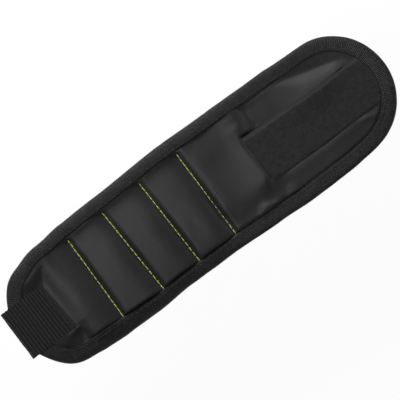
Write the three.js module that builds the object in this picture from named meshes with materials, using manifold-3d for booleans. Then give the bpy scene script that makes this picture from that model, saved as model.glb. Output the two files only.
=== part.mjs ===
// A magnetic wristband lying open: padded magnet pockets sewn side by side, a loop tape on one end,
// an elastic strap with hook tape on the other, and a folded tape round the whole edge.
// Millimetres, +Z up, +X towards the loop end. A station is a distance along the band from its strap end.

import * as THREE from "three";
import { mergeVertices } from "three/addons/utils/BufferGeometryUtils.js";
import Module from "manifold-3d";

const wasm = await Module();
wasm.setup();

// Driving dimensions of the band's plan
const BAND_WIDTH = 75;
const TAB_LENGTH = 28;
const FIRST_POCKET_LENGTH = 25.5;
const POCKET_LENGTH = 26.4;
const LAST_POCKET_LENGTH = 34.3;
const LOOP_PANEL_LENGTH = 49;
const TIP_LENGTH = 42;
const PANEL_GAP = 0.6;

// Driving dimensions of the layers
const LINING_THICKNESS = 1.4;
const LINING_HEM_THICKNESS = 0.6;
const CLOTH_THICKNESS = 0.6;
const LAYER_GAP = 0.2;
const BINDING_FACE = 8.5;
const BINDING_THICKNESS = 0.6;
const BINDING_CLEARANCE = 0.3;
const BINDING_SQUARE_RUN = 3;

// Driving dimensions of the pockets
const SEAM_SHOULDER = 1.2;
const POCKET_END_SHOULDER = 0.5;
const PAD_INSET = 2.2;
const PAD_CLEARANCE = 0.3;
const PAD_FLOOR = 0.3;
const FOAM_OVER_MAGNET = 1.4;
const MAGNET_DIAMETER = 12;
const MAGNET_THICKNESS = 1;
const MAGNET_CLEARANCE = 0.3;
const MAGNET_EDGE = 6;
const MAGNET_SPACING = 1.5;
const THREAD_DIAMETER = 0.7;

// Driving dimensions of the closure
const LOOP_WIDTH = 30;
const LOOP_THICKNESS = 1.3;
const STRAP_WIDTH = 30;
const STRAP_THICKNESS = 1.1;
const STRAP_FOLD_INSET = 1;
const STRAP_STEP = 3;
const STRAP_BACK_SHORT = 1.5;
const STRAP_JOINT_GAP = 0.3;
const HOOK_THICKNESS = 1;
const HOOK_GAP = 0.1;
const HOOK_SETBACK = 4;
const HOOK_MARGIN = 1;
const HOOK_SIDE_MARGIN = 0.5;
const LIFT_CLEARANCE = 0.2;

// Shape of a pocket's crown, and how finely round forms are divided
const CROWN_POWER_ALONG = 3;
const CROWN_POWER_ACROSS = 4;
const COVER_STEPS = 10;
const COVER_ROWS = 5;
const PAD_STEPS = 8;
const PAD_ROWS = 4;
const END_STEPS = 9;
const FOLD_STEPS = 8;
const MAGNET_SIDES = 20;
const THREAD_SIDES = 8;

// Heights of the layers above the wrist face
const COVER_BASE = LINING_THICKNESS + LAYER_GAP;
const COVER_TOP = COVER_BASE + CLOTH_THICKNESS;
const BINDING_HEIGHT = COVER_TOP + LAYER_GAP + BINDING_THICKNESS;
const LOOP_BASE = COVER_TOP + LAYER_GAP;
const MAGNET_BASE = COVER_BASE + PAD_FLOOR + MAGNET_CLEARANCE;
const CROWN = PAD_FLOOR + MAGNET_CLEARANCE + MAGNET_THICKNESS + FOAM_OVER_MAGNET;
const EDGE_INSET = BINDING_THICKNESS + LAYER_GAP;
const FACE_INSET = BINDING_FACE + BINDING_CLEARANCE;
const CROWN_INSET = BINDING_FACE + POCKET_END_SHOULDER;

// The strap's back leg and hook tape lie flat under the tab, which is lifted over them
const LIFT = STRAP_THICKNESS + HOOK_GAP + HOOK_THICKNESS + LIFT_CLEARANCE;
const STRAP_TOP_MIDDLE = LIFT + BINDING_HEIGHT + LAYER_GAP + STRAP_THICKNESS / 2;
const STRAP_FOLD_RADIUS = (STRAP_TOP_MIDDLE - STRAP_THICKNESS / 2) / 2;
const STRAP_FOLD_HEIGHT = STRAP_THICKNESS / 2 + STRAP_FOLD_RADIUS;
const STRAP_REACH = STRAP_FOLD_RADIUS + STRAP_THICKNESS / 2 - STRAP_FOLD_INSET;

const PANELS = [
  { name: "tab", length: TAB_LENGTH },
  { name: "pocket_1", length: FIRST_POCKET_LENGTH, padded: true },
  { name: "pocket_2", length: POCKET_LENGTH, padded: true, seam: "seam_thread_1" },
  { name: "pocket_3", length: POCKET_LENGTH, padded: true, seam: "seam_thread_2" },
  { name: "pocket_4", length: POCKET_LENGTH, padded: true, seam: "seam_thread_3" },
  { name: "pocket_5", length: LAST_POCKET_LENGTH, padded: true, seam: "seam_thread_4" },
  { name: "loop_panel", length: LOOP_PANEL_LENGTH, loop: true },
  { name: "tip", length: TIP_LENGTH, loop: true },
];
const BAND_LENGTH = PANELS.reduce((sum, panel) => sum + panel.length, 0);
const END_RADIUS = BAND_WIDTH / 2;
const BAND_CENTRE = (BAND_LENGTH - STRAP_REACH) / 2;

const CLOTH = { color: 0x363636, roughness: 0.62, metalness: 0 };
const LINING = { color: 0x262626, roughness: 0.95, metalness: 0 };
const FOAM = { color: 0x4a4a4a, roughness: 1, metalness: 0 };
const MAGNET = { color: 0xc4c6c8, roughness: 0.25, metalness: 1 };
const BINDING = { color: 0x2a2a2a, roughness: 0.8, metalness: 0 };
const THREAD = { color: 0xb4b66a, roughness: 0.6, metalness: 0 };
const LOOP = { color: 0x2b2b2b, roughness: 1, metalness: 0 };
const WEBBING = { color: 0x242424, roughness: 0.85, metalness: 0 };
const HOOK = { color: 0x1c1c1c, roughness: 0.7, metalness: 0 };

const band = new THREE.Group();
band.position.x = -BAND_CENTRE;

function addPiece(name, geometry, look) {
  const mesh = new THREE.Mesh(geometry, new THREE.MeshStandardMaterial(look));
  mesh.name = name;
  band.add(mesh);
  return mesh;
}

// Give each panel its first and last station, with half the slit to its neighbour taken off
function layOutPanels() {
  let start = 0;
  PANELS.forEach((panel, index) => {
    panel.start = start;
    panel.from = index === 0 ? 0 : start + PANEL_GAP / 2;
    start += panel.length;
    panel.to = index === PANELS.length - 1 ? start : start - PANEL_GAP / 2;
  });
}

// How far the band is raised: over the strap's back leg at the tab, and down to nothing along pocket_1
function liftAt(station) {
  const down = THREE.MathUtils.clamp((station - TAB_LENGTH) / FIRST_POCKET_LENGTH, 0, 1);
  return LIFT * (1 - down);
}

// Half the band's width at a station, for an outline drawn in from the outer edge by an inset
function halfWidthAt(station, inset) {
  const radius = END_RADIUS - inset;
  const past = Math.max(END_RADIUS - station, station - (BAND_LENGTH - END_RADIUS), 0);
  return Math.sqrt(Math.max(radius * radius - past * past, 0));
}

// Stations of a flat sheet: its two ends, and the steps that its round end needs
function flatStations(from, to, inset) {
  const radius = END_RADIUS - inset;
  const stations = [from, to];
  for (let step = 0; step <= END_STEPS; step += 1) {
    const reach = radius * Math.cos((step / END_STEPS) * (Math.PI / 2));
    stations.push(END_RADIUS - reach, BAND_LENGTH - END_RADIUS + reach);
  }
  const inside = stations.filter((station) => station > from && station < to);
  return [from, ...inside.sort((a, b) => a - b), to];
}

// Fractions from 0 to 1, closer together at both ends
function easedFractions(steps) {
  return Array.from({ length: steps + 1 }, (_, step) => (1 - Math.cos((Math.PI * step) / steps)) / 2);
}

// A closed solid through a row of sections. Each section has an outline of 2-D points, as many as its
// neighbour has, and a place function that sets a point in space.
function loft(sections) {
  const count = sections[0].outline.length;
  const corners = sections.flatMap(({ outline, place }) => outline.map(place));
  const positions = corners.flatMap((corner) => corner.toArray());
  const triangles = [];
  for (let section = 0; section + 1 < sections.length; section += 1) {
    for (let side = 0; side < count; side += 1) {
      const a = section * count + side;
      const b = section * count + ((side + 1) % count);
      triangles.push([a, b, b + count], [a, b + count, a + count]);
    }
  }
  const last = (sections.length - 1) * count;
  for (const [a, b, c] of THREE.ShapeUtils.triangulateShape(sections[0].outline, [])) {
    triangles.push([c, b, a]);
  }
  for (const [a, b, c] of THREE.ShapeUtils.triangulateShape(sections.at(-1).outline, [])) {
    triangles.push([last + a, last + b, last + c]);
  }
  return closedGeometry(positions, triangles);
}

// Merge shared corners, drop the triangles that close up where a sheet comes to a point, and turn faces out
function closedGeometry(positions, triangles) {
  const raw = new THREE.BufferGeometry();
  raw.setAttribute("position", new THREE.Float32BufferAttribute(positions, 3));
  raw.setIndex(triangles.flat());
  const merged = mergeVertices(raw, 1e-3);
  const index = merged.getIndex().array;
  const corners = merged.getAttribute("position");
  const kept = [];
  let volume = 0;
  for (let start = 0; start < index.length; start += 3) {
    const [a, b, c] = index.slice(start, start + 3);
    if (a === b || b === c || c === a) continue;
    kept.push([a, b, c]);
    const [p, q, r] = [a, b, c].map((corner) => new THREE.Vector3().fromBufferAttribute(corners, corner));
    volume += p.dot(q.cross(r));
  }
  merged.setIndex(kept.flatMap((corner) => (volume < 0 ? corner.reverse() : corner)));
  return merged;
}

// A sheet across the band: at each station a section runs along its underside and back along its top
function sheet(stations, rowsAt, bottomAt, topAt) {
  return loft(stations.map((station) => {
    const rows = rowsAt(station);
    const under = rows.map((y) => new THREE.Vector2(y, bottomAt(station, y)));
    const over = rows.map((y) => new THREE.Vector2(y, topAt(station, y))).reverse();
    return {
      outline: [...under, ...over],
      place: (point) => new THREE.Vector3(station, point.x, point.y + liftAt(station)),
    };
  }));
}

// A flat layer of one panel, between two heights
function flatLayer(panel, inset, bottom, top, narrowest = Infinity) {
  const from = Math.max(panel.from, inset);
  const to = Math.min(panel.to, BAND_LENGTH - inset);
  const rowsAt = (station) => {
    const half = Math.min(halfWidthAt(station, inset), narrowest);
    return [-half, half];
  };
  return sheet(flatStations(from, to, inset), rowsAt, () => bottom, () => top);
}

function toSolid(geometry) {
  const bare = geometry.index ? geometry.toNonIndexed() : geometry.clone();
  bare.deleteAttribute("normal");
  bare.deleteAttribute("uv");
  const merged = mergeVertices(bare, 1e-4);
  return new wasm.Manifold(new wasm.Mesh({
    numProp: 3,
    vertProperties: merged.getAttribute("position").array,
    triVerts: Uint32Array.from(merged.getIndex().array),
  }));
}

function toGeometry(solid) {
  const mesh = solid.getMesh();
  const geometry = new THREE.BufferGeometry();
  geometry.setAttribute("position", new THREE.BufferAttribute(mesh.vertProperties, mesh.numProp));
  geometry.setIndex(new THREE.BufferAttribute(mesh.triVerts, 1));
  return geometry;
}

// The lining is full thickness on the wrist face and thins to a hem that the binding holds
function addLining(panel) {
  const face = flatLayer(panel, FACE_INSET, 0, LINING_THICKNESS);
  const hem = flatLayer(panel, EDGE_INSET, LINING_THICKNESS - LINING_HEM_THICKNESS, LINING_THICKNESS);
  addPiece(`lining_${panel.name}`, toGeometry(toSolid(face).add(toSolid(hem))), LINING);
}

// How far a padded pocket swells above the flat cloth
function crownAt(panel, station, y) {
  const from = panel.from + SEAM_SHOULDER;
  const to = panel.to - SEAM_SHOULDER;
  const along = Math.min(Math.abs((2 * (station - from)) / (to - from) - 1), 1);
  const across = Math.min(Math.abs(y) / halfWidthAt(station, CROWN_INSET), 1);
  const swell = Math.sqrt(1 - along ** CROWN_POWER_ALONG);
  return CROWN * swell * Math.sqrt(1 - across ** CROWN_POWER_ACROSS);
}

// Rows across a pocket, closer together where its crown comes down at both ends
function crownRows(half, steps) {
  const side = Array.from({ length: steps }, (_, step) => Math.sin(((step + 1) / steps) * (Math.PI / 2)));
  return [...side.map((share) => -share * half).reverse(), 0, ...side.map((share) => share * half)];
}

function addPocketCover(panel) {
  const from = panel.from + SEAM_SHOULDER;
  const to = panel.to - SEAM_SHOULDER;
  const crowned = easedFractions(COVER_STEPS).map((share) => from + share * (to - from));
  const rowsAt = (station) => {
    const edge = halfWidthAt(station, EDGE_INSET);
    return [-edge, ...crownRows(halfWidthAt(station, CROWN_INSET), COVER_ROWS), edge];
  };
  const bottomAt = (station, y) => COVER_BASE + crownAt(panel, station, y);
  const topAt = (station, y) => COVER_TOP + crownAt(panel, station, y);
  const geometry = sheet([panel.from, ...crowned, panel.to], rowsAt, bottomAt, topAt);
  addPiece(`outer_cloth_${panel.name}`, geometry, CLOTH);
}

function addFlatCover(panel) {
  addPiece(`outer_cloth_${panel.name}`, flatLayer(panel, EDGE_INSET, COVER_BASE, COVER_TOP), CLOTH);
}

// Where a pocket's magnets lie: one row across the band, as many as the foam has room for
function magnetPlaces(panel) {
  const station = (panel.from + panel.to) / 2;
  const half = halfWidthAt(station, CROWN_INSET + PAD_INSET + MAGNET_EDGE);
  const count = Math.floor((2 * half + MAGNET_SPACING) / (MAGNET_DIAMETER + MAGNET_SPACING));
  const reach = half - MAGNET_DIAMETER / 2;
  return Array.from({ length: count }, (_, row) => {
    const y = count > 1 ? reach * ((2 * row) / (count - 1) - 1) : 0;
    return new THREE.Vector3(station, y, MAGNET_BASE + liftAt(station));
  });
}

// Magnets lean with their pocket, by the fall of the band across it
function leanOf(panel) {
  return Math.atan((liftAt(panel.from) - liftAt(panel.to)) / (panel.to - panel.from));
}

// A disc with its underside at z = base
function disc(radius, base, height) {
  const geometry = new THREE.CylinderGeometry(radius, radius, height, MAGNET_SIDES);
  return geometry.rotateX(Math.PI / 2).translate(0, 0, base + height / 2);
}

// The foam fills the pocket under the cloth, with a round seat for each magnet
function addPad(panel) {
  const from = panel.from + SEAM_SHOULDER + PAD_INSET;
  const to = panel.to - SEAM_SHOULDER - PAD_INSET;
  const stations = easedFractions(PAD_STEPS).map((share) => from + share * (to - from));
  const rowsAt = (station) => crownRows(halfWidthAt(station, CROWN_INSET + PAD_INSET), PAD_ROWS);
  const topAt = (station, y) => COVER_BASE + crownAt(panel, station, y) - PAD_CLEARANCE;
  let foam = toSolid(sheet(stations, rowsAt, () => COVER_BASE, topAt));
  for (const place of magnetPlaces(panel)) {
    const seat = disc(MAGNET_DIAMETER / 2 + MAGNET_CLEARANCE, -MAGNET_CLEARANCE, CROWN);
    foam = foam.subtract(toSolid(seat.rotateY(leanOf(panel)).translate(place.x, place.y, place.z)));
  }
  addPiece(`foam_pad_${panel.name}`, toGeometry(foam), FOAM);
}

function addMagnets(panel) {
  magnetPlaces(panel).forEach((place, row) => {
    const geometry = disc(MAGNET_DIAMETER / 2, 0, MAGNET_THICKNESS);
    const magnet = addPiece(`magnet_${panel.name}_${row + 1}`, geometry, MAGNET);
    magnet.position.copy(place);
    magnet.rotation.y = leanOf(panel);
  });
}

// Section of the folded binding: x is the distance in from the band's edge, y the height
function bindingOutline() {
  const t = BINDING_THICKNESS;
  const h = BINDING_HEIGHT;
  const points = [
    [0, t], [t, 0], [BINDING_FACE, 0], [BINDING_FACE, t], [t, t],
    [t, h - t], [BINDING_FACE, h - t], [BINDING_FACE, h], [t, h], [0, h - t],
  ];
  return points.map(([inward, height]) => new THREE.Vector2(inward, height));
}

// A binding section that lies square across the band at a station, on the side of y that sign gives
function squareSection(station, sign) {
  return {
    outline: bindingOutline(),
    place: ({ x, y }) => new THREE.Vector3(station, sign * halfWidthAt(station, x), y + liftAt(station)),
  };
}

// A binding section that points to the centre of a round end. The strap end faces -X, the tip +X.
function radialSection(facing, angle) {
  const centre = facing < 0 ? END_RADIUS : BAND_LENGTH - END_RADIUS;
  const lift = facing < 0 ? LIFT : 0;
  return {
    outline: bindingOutline(),
    place: ({ x, y }) => {
      const reach = END_RADIUS - x;
      return new THREE.Vector3(centre + facing * reach * Math.cos(angle), reach * Math.sin(angle), y + lift);
    },
  };
}

function addSideBindings(panel) {
  for (const [side, sign] of [["left", 1], ["right", -1]]) {
    const sections = flatStations(panel.from, panel.to, 0).map((station) => squareSection(station, sign));
    addPiece(`binding_${panel.name}_${side}`, loft(sections), BINDING);
  }
}

// One piece of binding runs round an end, from the panel's slit on one side to its slit on the other
function addEndBinding(panel, facing) {
  const slit = facing < 0 ? panel.to : panel.from;
  const length = panel.length - PANEL_GAP;
  const short = Math.max(END_RADIUS - (length - BINDING_SQUARE_RUN), 0);
  const widest = Math.acos(Math.min(short / (END_RADIUS - BINDING_FACE), 1));
  const sections = [squareSection(slit, -1)];
  for (let step = -END_STEPS; step <= END_STEPS; step += 1) {
    sections.push(radialSection(facing, (step / END_STEPS) * widest));
  }
  sections.push(squareSection(slit, 1));
  addPiece(`binding_${panel.name}`, loft(sections), BINDING);
}

// A seam's thread lies in the valley between two pockets, from binding to binding
function addSeamThread(panel) {
  const length = 2 * halfWidthAt(panel.start, CROWN_INSET);
  const radius = THREAD_DIAMETER / 2;
  const geometry = new THREE.CylinderGeometry(radius, radius, length, THREAD_SIDES);
  const thread = addPiece(panel.seam, geometry, THREAD);
  thread.position.set(panel.start, 0, COVER_TOP + LAYER_GAP + radius);
}

// The loop tape lies on the cloth and ends at the binding round the tip
function addLoopTape(panel) {
  const top = LOOP_BASE + LOOP_THICKNESS;
  const geometry = flatLayer(panel, FACE_INSET, LOOP_BASE, top, LOOP_WIDTH / 2);
  addPiece(`loop_tape_${panel.name}`, geometry, LOOP);
}

// A flat strap section in the plane that a direction leads out of, at a point of the strap's middle line
function strapSection(station, height, outX, outZ) {
  const half = new THREE.Vector2(STRAP_THICKNESS / 2, STRAP_WIDTH / 2);
  const corners = [[-1, -1], [1, -1], [1, 1], [-1, 1]];
  return {
    outline: corners.map(([x, y]) => new THREE.Vector2(x, y).multiply(half)),
    place: ({ x, y }) => new THREE.Vector3(station + x * outX, y, height + x * outZ),
  };
}

// The strap's front leg is sewn down on the tab, steps up over the binding and folds round the end
function addStrapFront(tab) {
  const low = LIFT + COVER_TOP + LAYER_GAP + STRAP_THICKNESS / 2;
  const inner = END_RADIUS - BINDING_FACE;
  const overBinding = END_RADIUS - Math.sqrt(inner ** 2 - (STRAP_WIDTH / 2) ** 2) + BINDING_CLEARANCE;
  const sections = [
    strapSection(tab.to, low, 0, 1),
    strapSection(overBinding + STRAP_STEP, low, 0, 1),
    strapSection(overBinding, STRAP_TOP_MIDDLE, 0, 1),
  ];
  for (let step = 0; step <= FOLD_STEPS; step += 1) {
    const angle = (step / FOLD_STEPS) * Math.PI;
    const outX = -Math.sin(angle);
    const outZ = Math.cos(angle);
    const station = STRAP_FOLD_INSET + STRAP_FOLD_RADIUS * outX;
    sections.push(strapSection(station, STRAP_FOLD_HEIGHT + STRAP_FOLD_RADIUS * outZ, outX, outZ));
  }
  addPiece("strap_front", loft(sections), WEBBING);
}

// The strap's back leg lies under the tab, with the hook tape on the side that faces the lining
function addStrapBack(tab) {
  const from = STRAP_FOLD_INSET + STRAP_JOINT_GAP;
  const to = tab.to - STRAP_BACK_SHORT;
  const leg = new THREE.BoxGeometry(to - from, STRAP_WIDTH, STRAP_THICKNESS);
  addPiece("strap_back", leg, WEBBING).position.set((from + to) / 2, 0, STRAP_THICKNESS / 2);
  const hookFrom = from + HOOK_SETBACK;
  const hookTo = to - HOOK_MARGIN;
  const hook = new THREE.BoxGeometry(hookTo - hookFrom, STRAP_WIDTH - 2 * HOOK_SIDE_MARGIN, HOOK_THICKNESS);
  const hookHeight = STRAP_THICKNESS + HOOK_GAP + HOOK_THICKNESS / 2;
  addPiece("hook_tape", hook, HOOK).position.set((hookFrom + hookTo) / 2, 0, hookHeight);
}

layOutPanels();
for (const panel of PANELS) {
  addLining(panel);
  if (panel.padded) {
    addPocketCover(panel);
    addPad(panel);
    addMagnets(panel);
  } else {
    addFlatCover(panel);
  }
  if (panel.seam) addSeamThread(panel);
  if (panel.loop) addLoopTape(panel);
}
addEndBinding(PANELS[0], -1);
PANELS.slice(1, -1).forEach(addSideBindings);
addEndBinding(PANELS.at(-1), 1);
addStrapFront(PANELS[0]);
addStrapBack(PANELS[0]);

const wristband = new THREE.Group();
wristband.add(band);
export default wristband;
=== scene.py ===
import math

import bpy
import numpy as np
from mathutils import Matrix, Vector, noise


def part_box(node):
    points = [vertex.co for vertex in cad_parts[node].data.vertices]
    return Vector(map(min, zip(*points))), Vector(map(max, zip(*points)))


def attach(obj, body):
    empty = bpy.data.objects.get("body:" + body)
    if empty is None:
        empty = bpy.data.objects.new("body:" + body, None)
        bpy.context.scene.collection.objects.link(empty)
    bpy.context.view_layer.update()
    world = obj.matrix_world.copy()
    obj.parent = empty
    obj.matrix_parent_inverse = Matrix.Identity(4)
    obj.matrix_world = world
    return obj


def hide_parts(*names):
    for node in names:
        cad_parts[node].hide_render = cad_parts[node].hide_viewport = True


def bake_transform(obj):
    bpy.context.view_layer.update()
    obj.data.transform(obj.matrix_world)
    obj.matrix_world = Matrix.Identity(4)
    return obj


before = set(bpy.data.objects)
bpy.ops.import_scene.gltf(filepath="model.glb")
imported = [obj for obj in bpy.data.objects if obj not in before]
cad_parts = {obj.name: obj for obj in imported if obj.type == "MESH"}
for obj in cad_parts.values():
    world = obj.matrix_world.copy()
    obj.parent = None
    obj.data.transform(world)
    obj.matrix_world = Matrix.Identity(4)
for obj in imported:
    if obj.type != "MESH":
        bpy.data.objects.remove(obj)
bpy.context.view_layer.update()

bl_info = {
    "name": "Magnetic wristband",
    "version": (1, 0, 0),
    "blender": (4, 5, 0),
    "location": "View3D > Sidebar > Wristband",
    "description": "Dresses a magnetic tool wristband: cloth pockets, binding, stitching, tapes and strap",
    "category": "Object",
}

MM = 0.001


def box_mm(node):
    """Lowest and highest corner of a CAD node, in millimetres."""
    low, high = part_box(node)
    return low / MM, high / MM


# The band's plan, read from the frame, in millimetres. The band lies along X, the strap end at -X.
PANELS = ("tab", "pocket_1", "pocket_2", "pocket_3", "pocket_4", "pocket_5", "loop_panel", "tip")
POCKETS = range(1, 6)
LEFT = box_mm("binding_tab")[0].x
RIGHT = box_mm("binding_tip")[1].x
HALF = box_mm("binding_pocket_3_left")[1].y
LIFT = box_mm("lining_tab")[0].z


def panel_edges():
    """Where each panel starts along the band, and where the last one ends."""
    inner = []
    for before, after in zip(PANELS, PANELS[1:]):
        inner.append((box_mm(f"lining_{before}")[1].x + box_mm(f"lining_{after}")[0].x) / 2)
    return [LEFT, *inner, RIGHT]


EDGES = panel_edges()
# Long soft pieces are cut in the middle of a panel, so that each part crosses one fold line
CUTS = [(EDGES[k] + EDGES[k + 1]) / 2 for k in range(1, 7)]
ZONES = range(len(PANELS) - 1)
# How far a soft piece bends before and after each fold line
BEND_RUNS = ((1.5, 6), (3.5, 3.5), (3.5, 3.5), (3.5, 3.5), (3.5, 3.5), (9, 11), (13, 13))

# How the real band's edges stray from a true outline: distance along the band and stray, in millimetres
UPPER_STRAY = ((0, 0.6), (9, 0.6), (25, -2.6), (38, -2.2), (56, -0.5), (80, 0.1), (124, 1.5), (160, 0.7),
               (192, 0.1), (222, -1.2), (238, 0), (258, 0.4))
LOWER_STRAY = ((0, -1.4), (12, -2), (31, 1.6), (50, 0.8), (72, 0.5), (94, 1.6), (124, 1.5), (158, 0),
               (182, -1.2), (206, -1), (226, 0.3), (240, 0), (258, -0.4))
# How the lower binding's inner edge strays besides
INNER_STRAY = ((0, 0), (22, 0.5), (34, 1.1), (46, 1.2), (54, 0.4), (64, 0), (80, -0.8), (100, -1.1),
               (124, -1.1), (140, -0.5), (160, 0), (258, 0))
# How far the seams lean along the band at its upper edge; the lower edge leans the other way
SEAM_LEAN = ((28, 0), (53.5, 0.5), (79.9, -1.4), (106.3, -0.8), (132.7, 0))
# How much longer the sewn band is than the true plan, at its tip and at its strap end
TIP_STRETCH = 1.0
TAB_STRETCH = 1.1
# How far from the middle line the tab starts to hang down from the strap, and the first pocket's edges to tilt
TAB_HANG = 14.5
POCKET_TILT = 12.0


def span_of(value, stops):
    """The stops' places and heights, the stop before a value, and its share of the way to the next."""
    places, heights = np.array(stops, float).T
    k = np.clip(np.searchsorted(places, value, side="right") - 1, 0, len(stops) - 2)
    share = np.clip((value - places[k]) / (places[k + 1] - places[k]), 0, 1)
    return places, heights, k, share


def ease(value, stops):
    """Smooth curve through given stops of place and height."""
    places, heights, k, s = span_of(value, stops)
    return heights[k] + s * s * (3 - 2 * s) * (heights[k + 1] - heights[k])


def flow(value, stops):
    """Smooth curve through given stops that doesn't level off at each of them."""
    places, heights, k, s = span_of(value, stops)
    slopes = np.gradient(heights, places)
    run = places[k + 1] - places[k]
    start = (1 + 2 * s) * (1 - s) ** 2 * heights[k] + s * (1 - s) ** 2 * run * slopes[k]
    end = s * s * (3 - 2 * s) * heights[k + 1] + s * s * (s - 1) * run * slopes[k + 1]
    return start + end


def step_up(value, start, end):
    """0 before start, 1 after end, and smooth between."""
    share = np.clip((np.asarray(value, float) - start) / (end - start), 0, 1)
    return share * share * (3 - 2 * share)


def step_down(value, start, end):
    """1 before start, 0 after end, and smooth between."""
    return 1 - step_up(value, start, end)


def past_sides(x):
    """How far x lies beyond the straight sides, in one of the round ends."""
    return np.maximum(np.maximum(LEFT + HALF - x, x - RIGHT + HALF), 0)


def half_at(x, inset):
    """Half of the band's width at x, for an outline that far inside its edge."""
    radius = HALF - inset
    return np.sqrt(np.maximum(radius * radius - past_sides(x) ** 2, 0.01))


def inset_at(x, y):
    """How far a point of the plan lies inside the band's edge."""
    return HALF - np.hypot(past_sides(x), y)


def lift_at(x, y):
    """How far the folded strap lifts the tab, with the first pocket sloping down to the table from it.
    The lower edge hangs down."""
    total = 0.0
    for shift in (-3.0, -1.5, 0.0, 1.5, 3.0):
        total = total + np.clip((EDGES[2] - x - shift) / (EDGES[2] - EDGES[1]), 0, 1)
    lean = 0.45 * np.clip((y - POCKET_TILT) / (HALF - POCKET_TILT), 0, 1) ** 1.5
    pocket = 0.9 * np.clip((-y - POCKET_TILT) / (HALF - POCKET_TILT), 0, 1) ** 1.5
    tab = 0.97 * np.clip((-y - TAB_HANG) / 11.5, 0, 1)
    far = step_up(x - LEFT, 29, 36)
    return LIFT * total / 5 * (1 + lean - far * pocket - (1 - far) * tab)


def strayed(x, y, z):
    """Where the sewn band really has points of the true plan."""
    station = x - LEFT
    upper = ease(station, UPPER_STRAY)
    lower = ease(station, LOWER_STRAY)
    share = np.clip(y / HALF, -1, 1)
    inset = inset_at(x, y)
    moved_y = y + (upper + lower) / 2 + (upper - lower) / 2 * share
    near = np.interp(inset, (0, 9, 26), (0, 1, 0)) * step_up(-y, 0, 12)
    moved_y = moved_y + near * ease(station, INNER_STRAY)
    lean = ease(station, SEAM_LEAN) * share * step_up(inset, 1, 9)
    moved_x = x + lean + TIP_STRETCH * step_up(x, RIGHT - 34, RIGHT)
    moved_x = moved_x - TAB_STRETCH * step_up(-x, -LEFT - 30, -LEFT) * (0.6 - 0.4 * share)
    return np.stack([moved_x, moved_y, z], -1)


def speckle(x, y, size, seed):
    """Smooth seeded noise over the plan, from about -1 to 1."""
    return np.array([noise.noise(Vector((a / size, b / size, seed))) for a, b in zip(x, y)])


def way_along(points):
    """Distance of each point along a line of points."""
    return np.concatenate([[0], np.cumsum(np.hypot(*np.diff(points, axis=0).T))])


# Working in Blender


def only(piece):
    """Selects one object alone and makes it active."""
    bpy.ops.object.select_all(action="DESELECT")
    piece.select_set(True)
    bpy.context.view_layer.objects.active = piece


def added(operator, name, **settings):
    """Adds an object and names it."""
    bpy.ops.object.select_all(action="DESELECT")
    operator(**settings)
    piece = bpy.context.object
    piece.name = piece.data.name = name
    return piece


def read(items, field, wide=1, kind=float):
    """One field of all of a mesh's items."""
    flat = np.empty(len(items) * wide, kind)
    items.foreach_get(field, flat)
    return flat.reshape(-1, wide) if wide > 1 else flat


def points_of(piece):
    return read(piece.data.vertices, "co", 3) / MM


def set_points(piece, points):
    piece.data.vertices.foreach_set("co", (points * MM).astype(np.float32).ravel())
    piece.data.update()


def normals_of(piece):
    return read(piece.data.vertex_normals, "vector", 3)


def mark(piece, name, vectors):
    """Keeps a vector for each point, which later cuts and subdivisions carry on."""
    attribute = piece.data.attributes.new(name, "FLOAT_VECTOR", "POINT")
    attribute.data.foreach_set("vector", vectors.astype(np.float32).ravel())


def mark_pair(piece, name, first, second):
    mark(piece, name, np.stack([first, second, np.zeros_like(first)], 1))


def marked(piece, name):
    return read(piece.data.attributes[name].data, "vector", 3)


def grid(name, columns, rows):
    """A flat grid primitive, with the column and row number of each of its points."""
    piece = added(bpy.ops.mesh.primitive_grid_add, name, x_subdivisions=columns, y_subdivisions=rows, size=2,
                  calc_uvs=False)
    flat = points_of(piece) * MM
    column = np.rint((flat[:, 0] + 1) / 2 * columns).astype(int)
    row = np.rint((flat[:, 1] + 1) / 2 * rows).astype(int)
    return piece, column, row


def finish_with(piece, kind, **settings):
    """Adds one modifier and applies it."""
    only(piece)
    modifier = piece.modifiers.new(kind.title(), kind)
    for key, value in settings.items():
        setattr(modifier, key, value)
    bpy.ops.object.modifier_apply(modifier=modifier.name)


def subdivide(piece):
    finish_with(piece, "SUBSURF", levels=1, render_levels=1, boundary_smooth="PRESERVE_CORNERS")


def smooth(piece, degrees=40):
    only(piece)
    bpy.ops.object.shade_smooth_by_angle(angle=math.radians(degrees))


def edit_all(piece, operator, **settings):
    """Runs a mesh operator on all of a piece."""
    only(piece)
    bpy.ops.object.mode_set(mode="EDIT")
    bpy.ops.mesh.select_mode(type="FACE")
    bpy.ops.mesh.select_all(action="SELECT")
    operator(**settings)
    bpy.ops.object.mode_set(mode="OBJECT")


def edit_faces(piece, chosen):
    """Opens a piece in edit mode with the faces selected that a list of flags names."""
    mesh = piece.data
    mesh.vertices.foreach_set("select", np.zeros(len(mesh.vertices), bool))
    mesh.edges.foreach_set("select", np.zeros(len(mesh.edges), bool))
    mesh.polygons.foreach_set("select", np.asarray(chosen, bool))
    only(piece)
    bpy.ops.object.mode_set(mode="EDIT")
    bpy.ops.mesh.select_mode(type="FACE")


def duplicate(piece, name):
    """A copy with a mesh of its own."""
    twin = piece.copy()
    twin.data = piece.data.copy()
    twin.name = twin.data.name = name
    bpy.context.scene.collection.objects.link(twin)
    return twin


def discard(piece):
    mesh = piece.data
    bpy.data.objects.remove(piece)
    bpy.data.meshes.remove(mesh)


def joined(name, pieces):
    """Joins pieces into one mesh."""
    bpy.ops.object.select_all(action="DESELECT")
    for piece in pieces:
        piece.select_set(True)
    bpy.context.view_layer.objects.active = pieces[0]
    bpy.ops.object.join()
    whole = bpy.context.object
    whole.name = whole.data.name = name
    return whole


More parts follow.
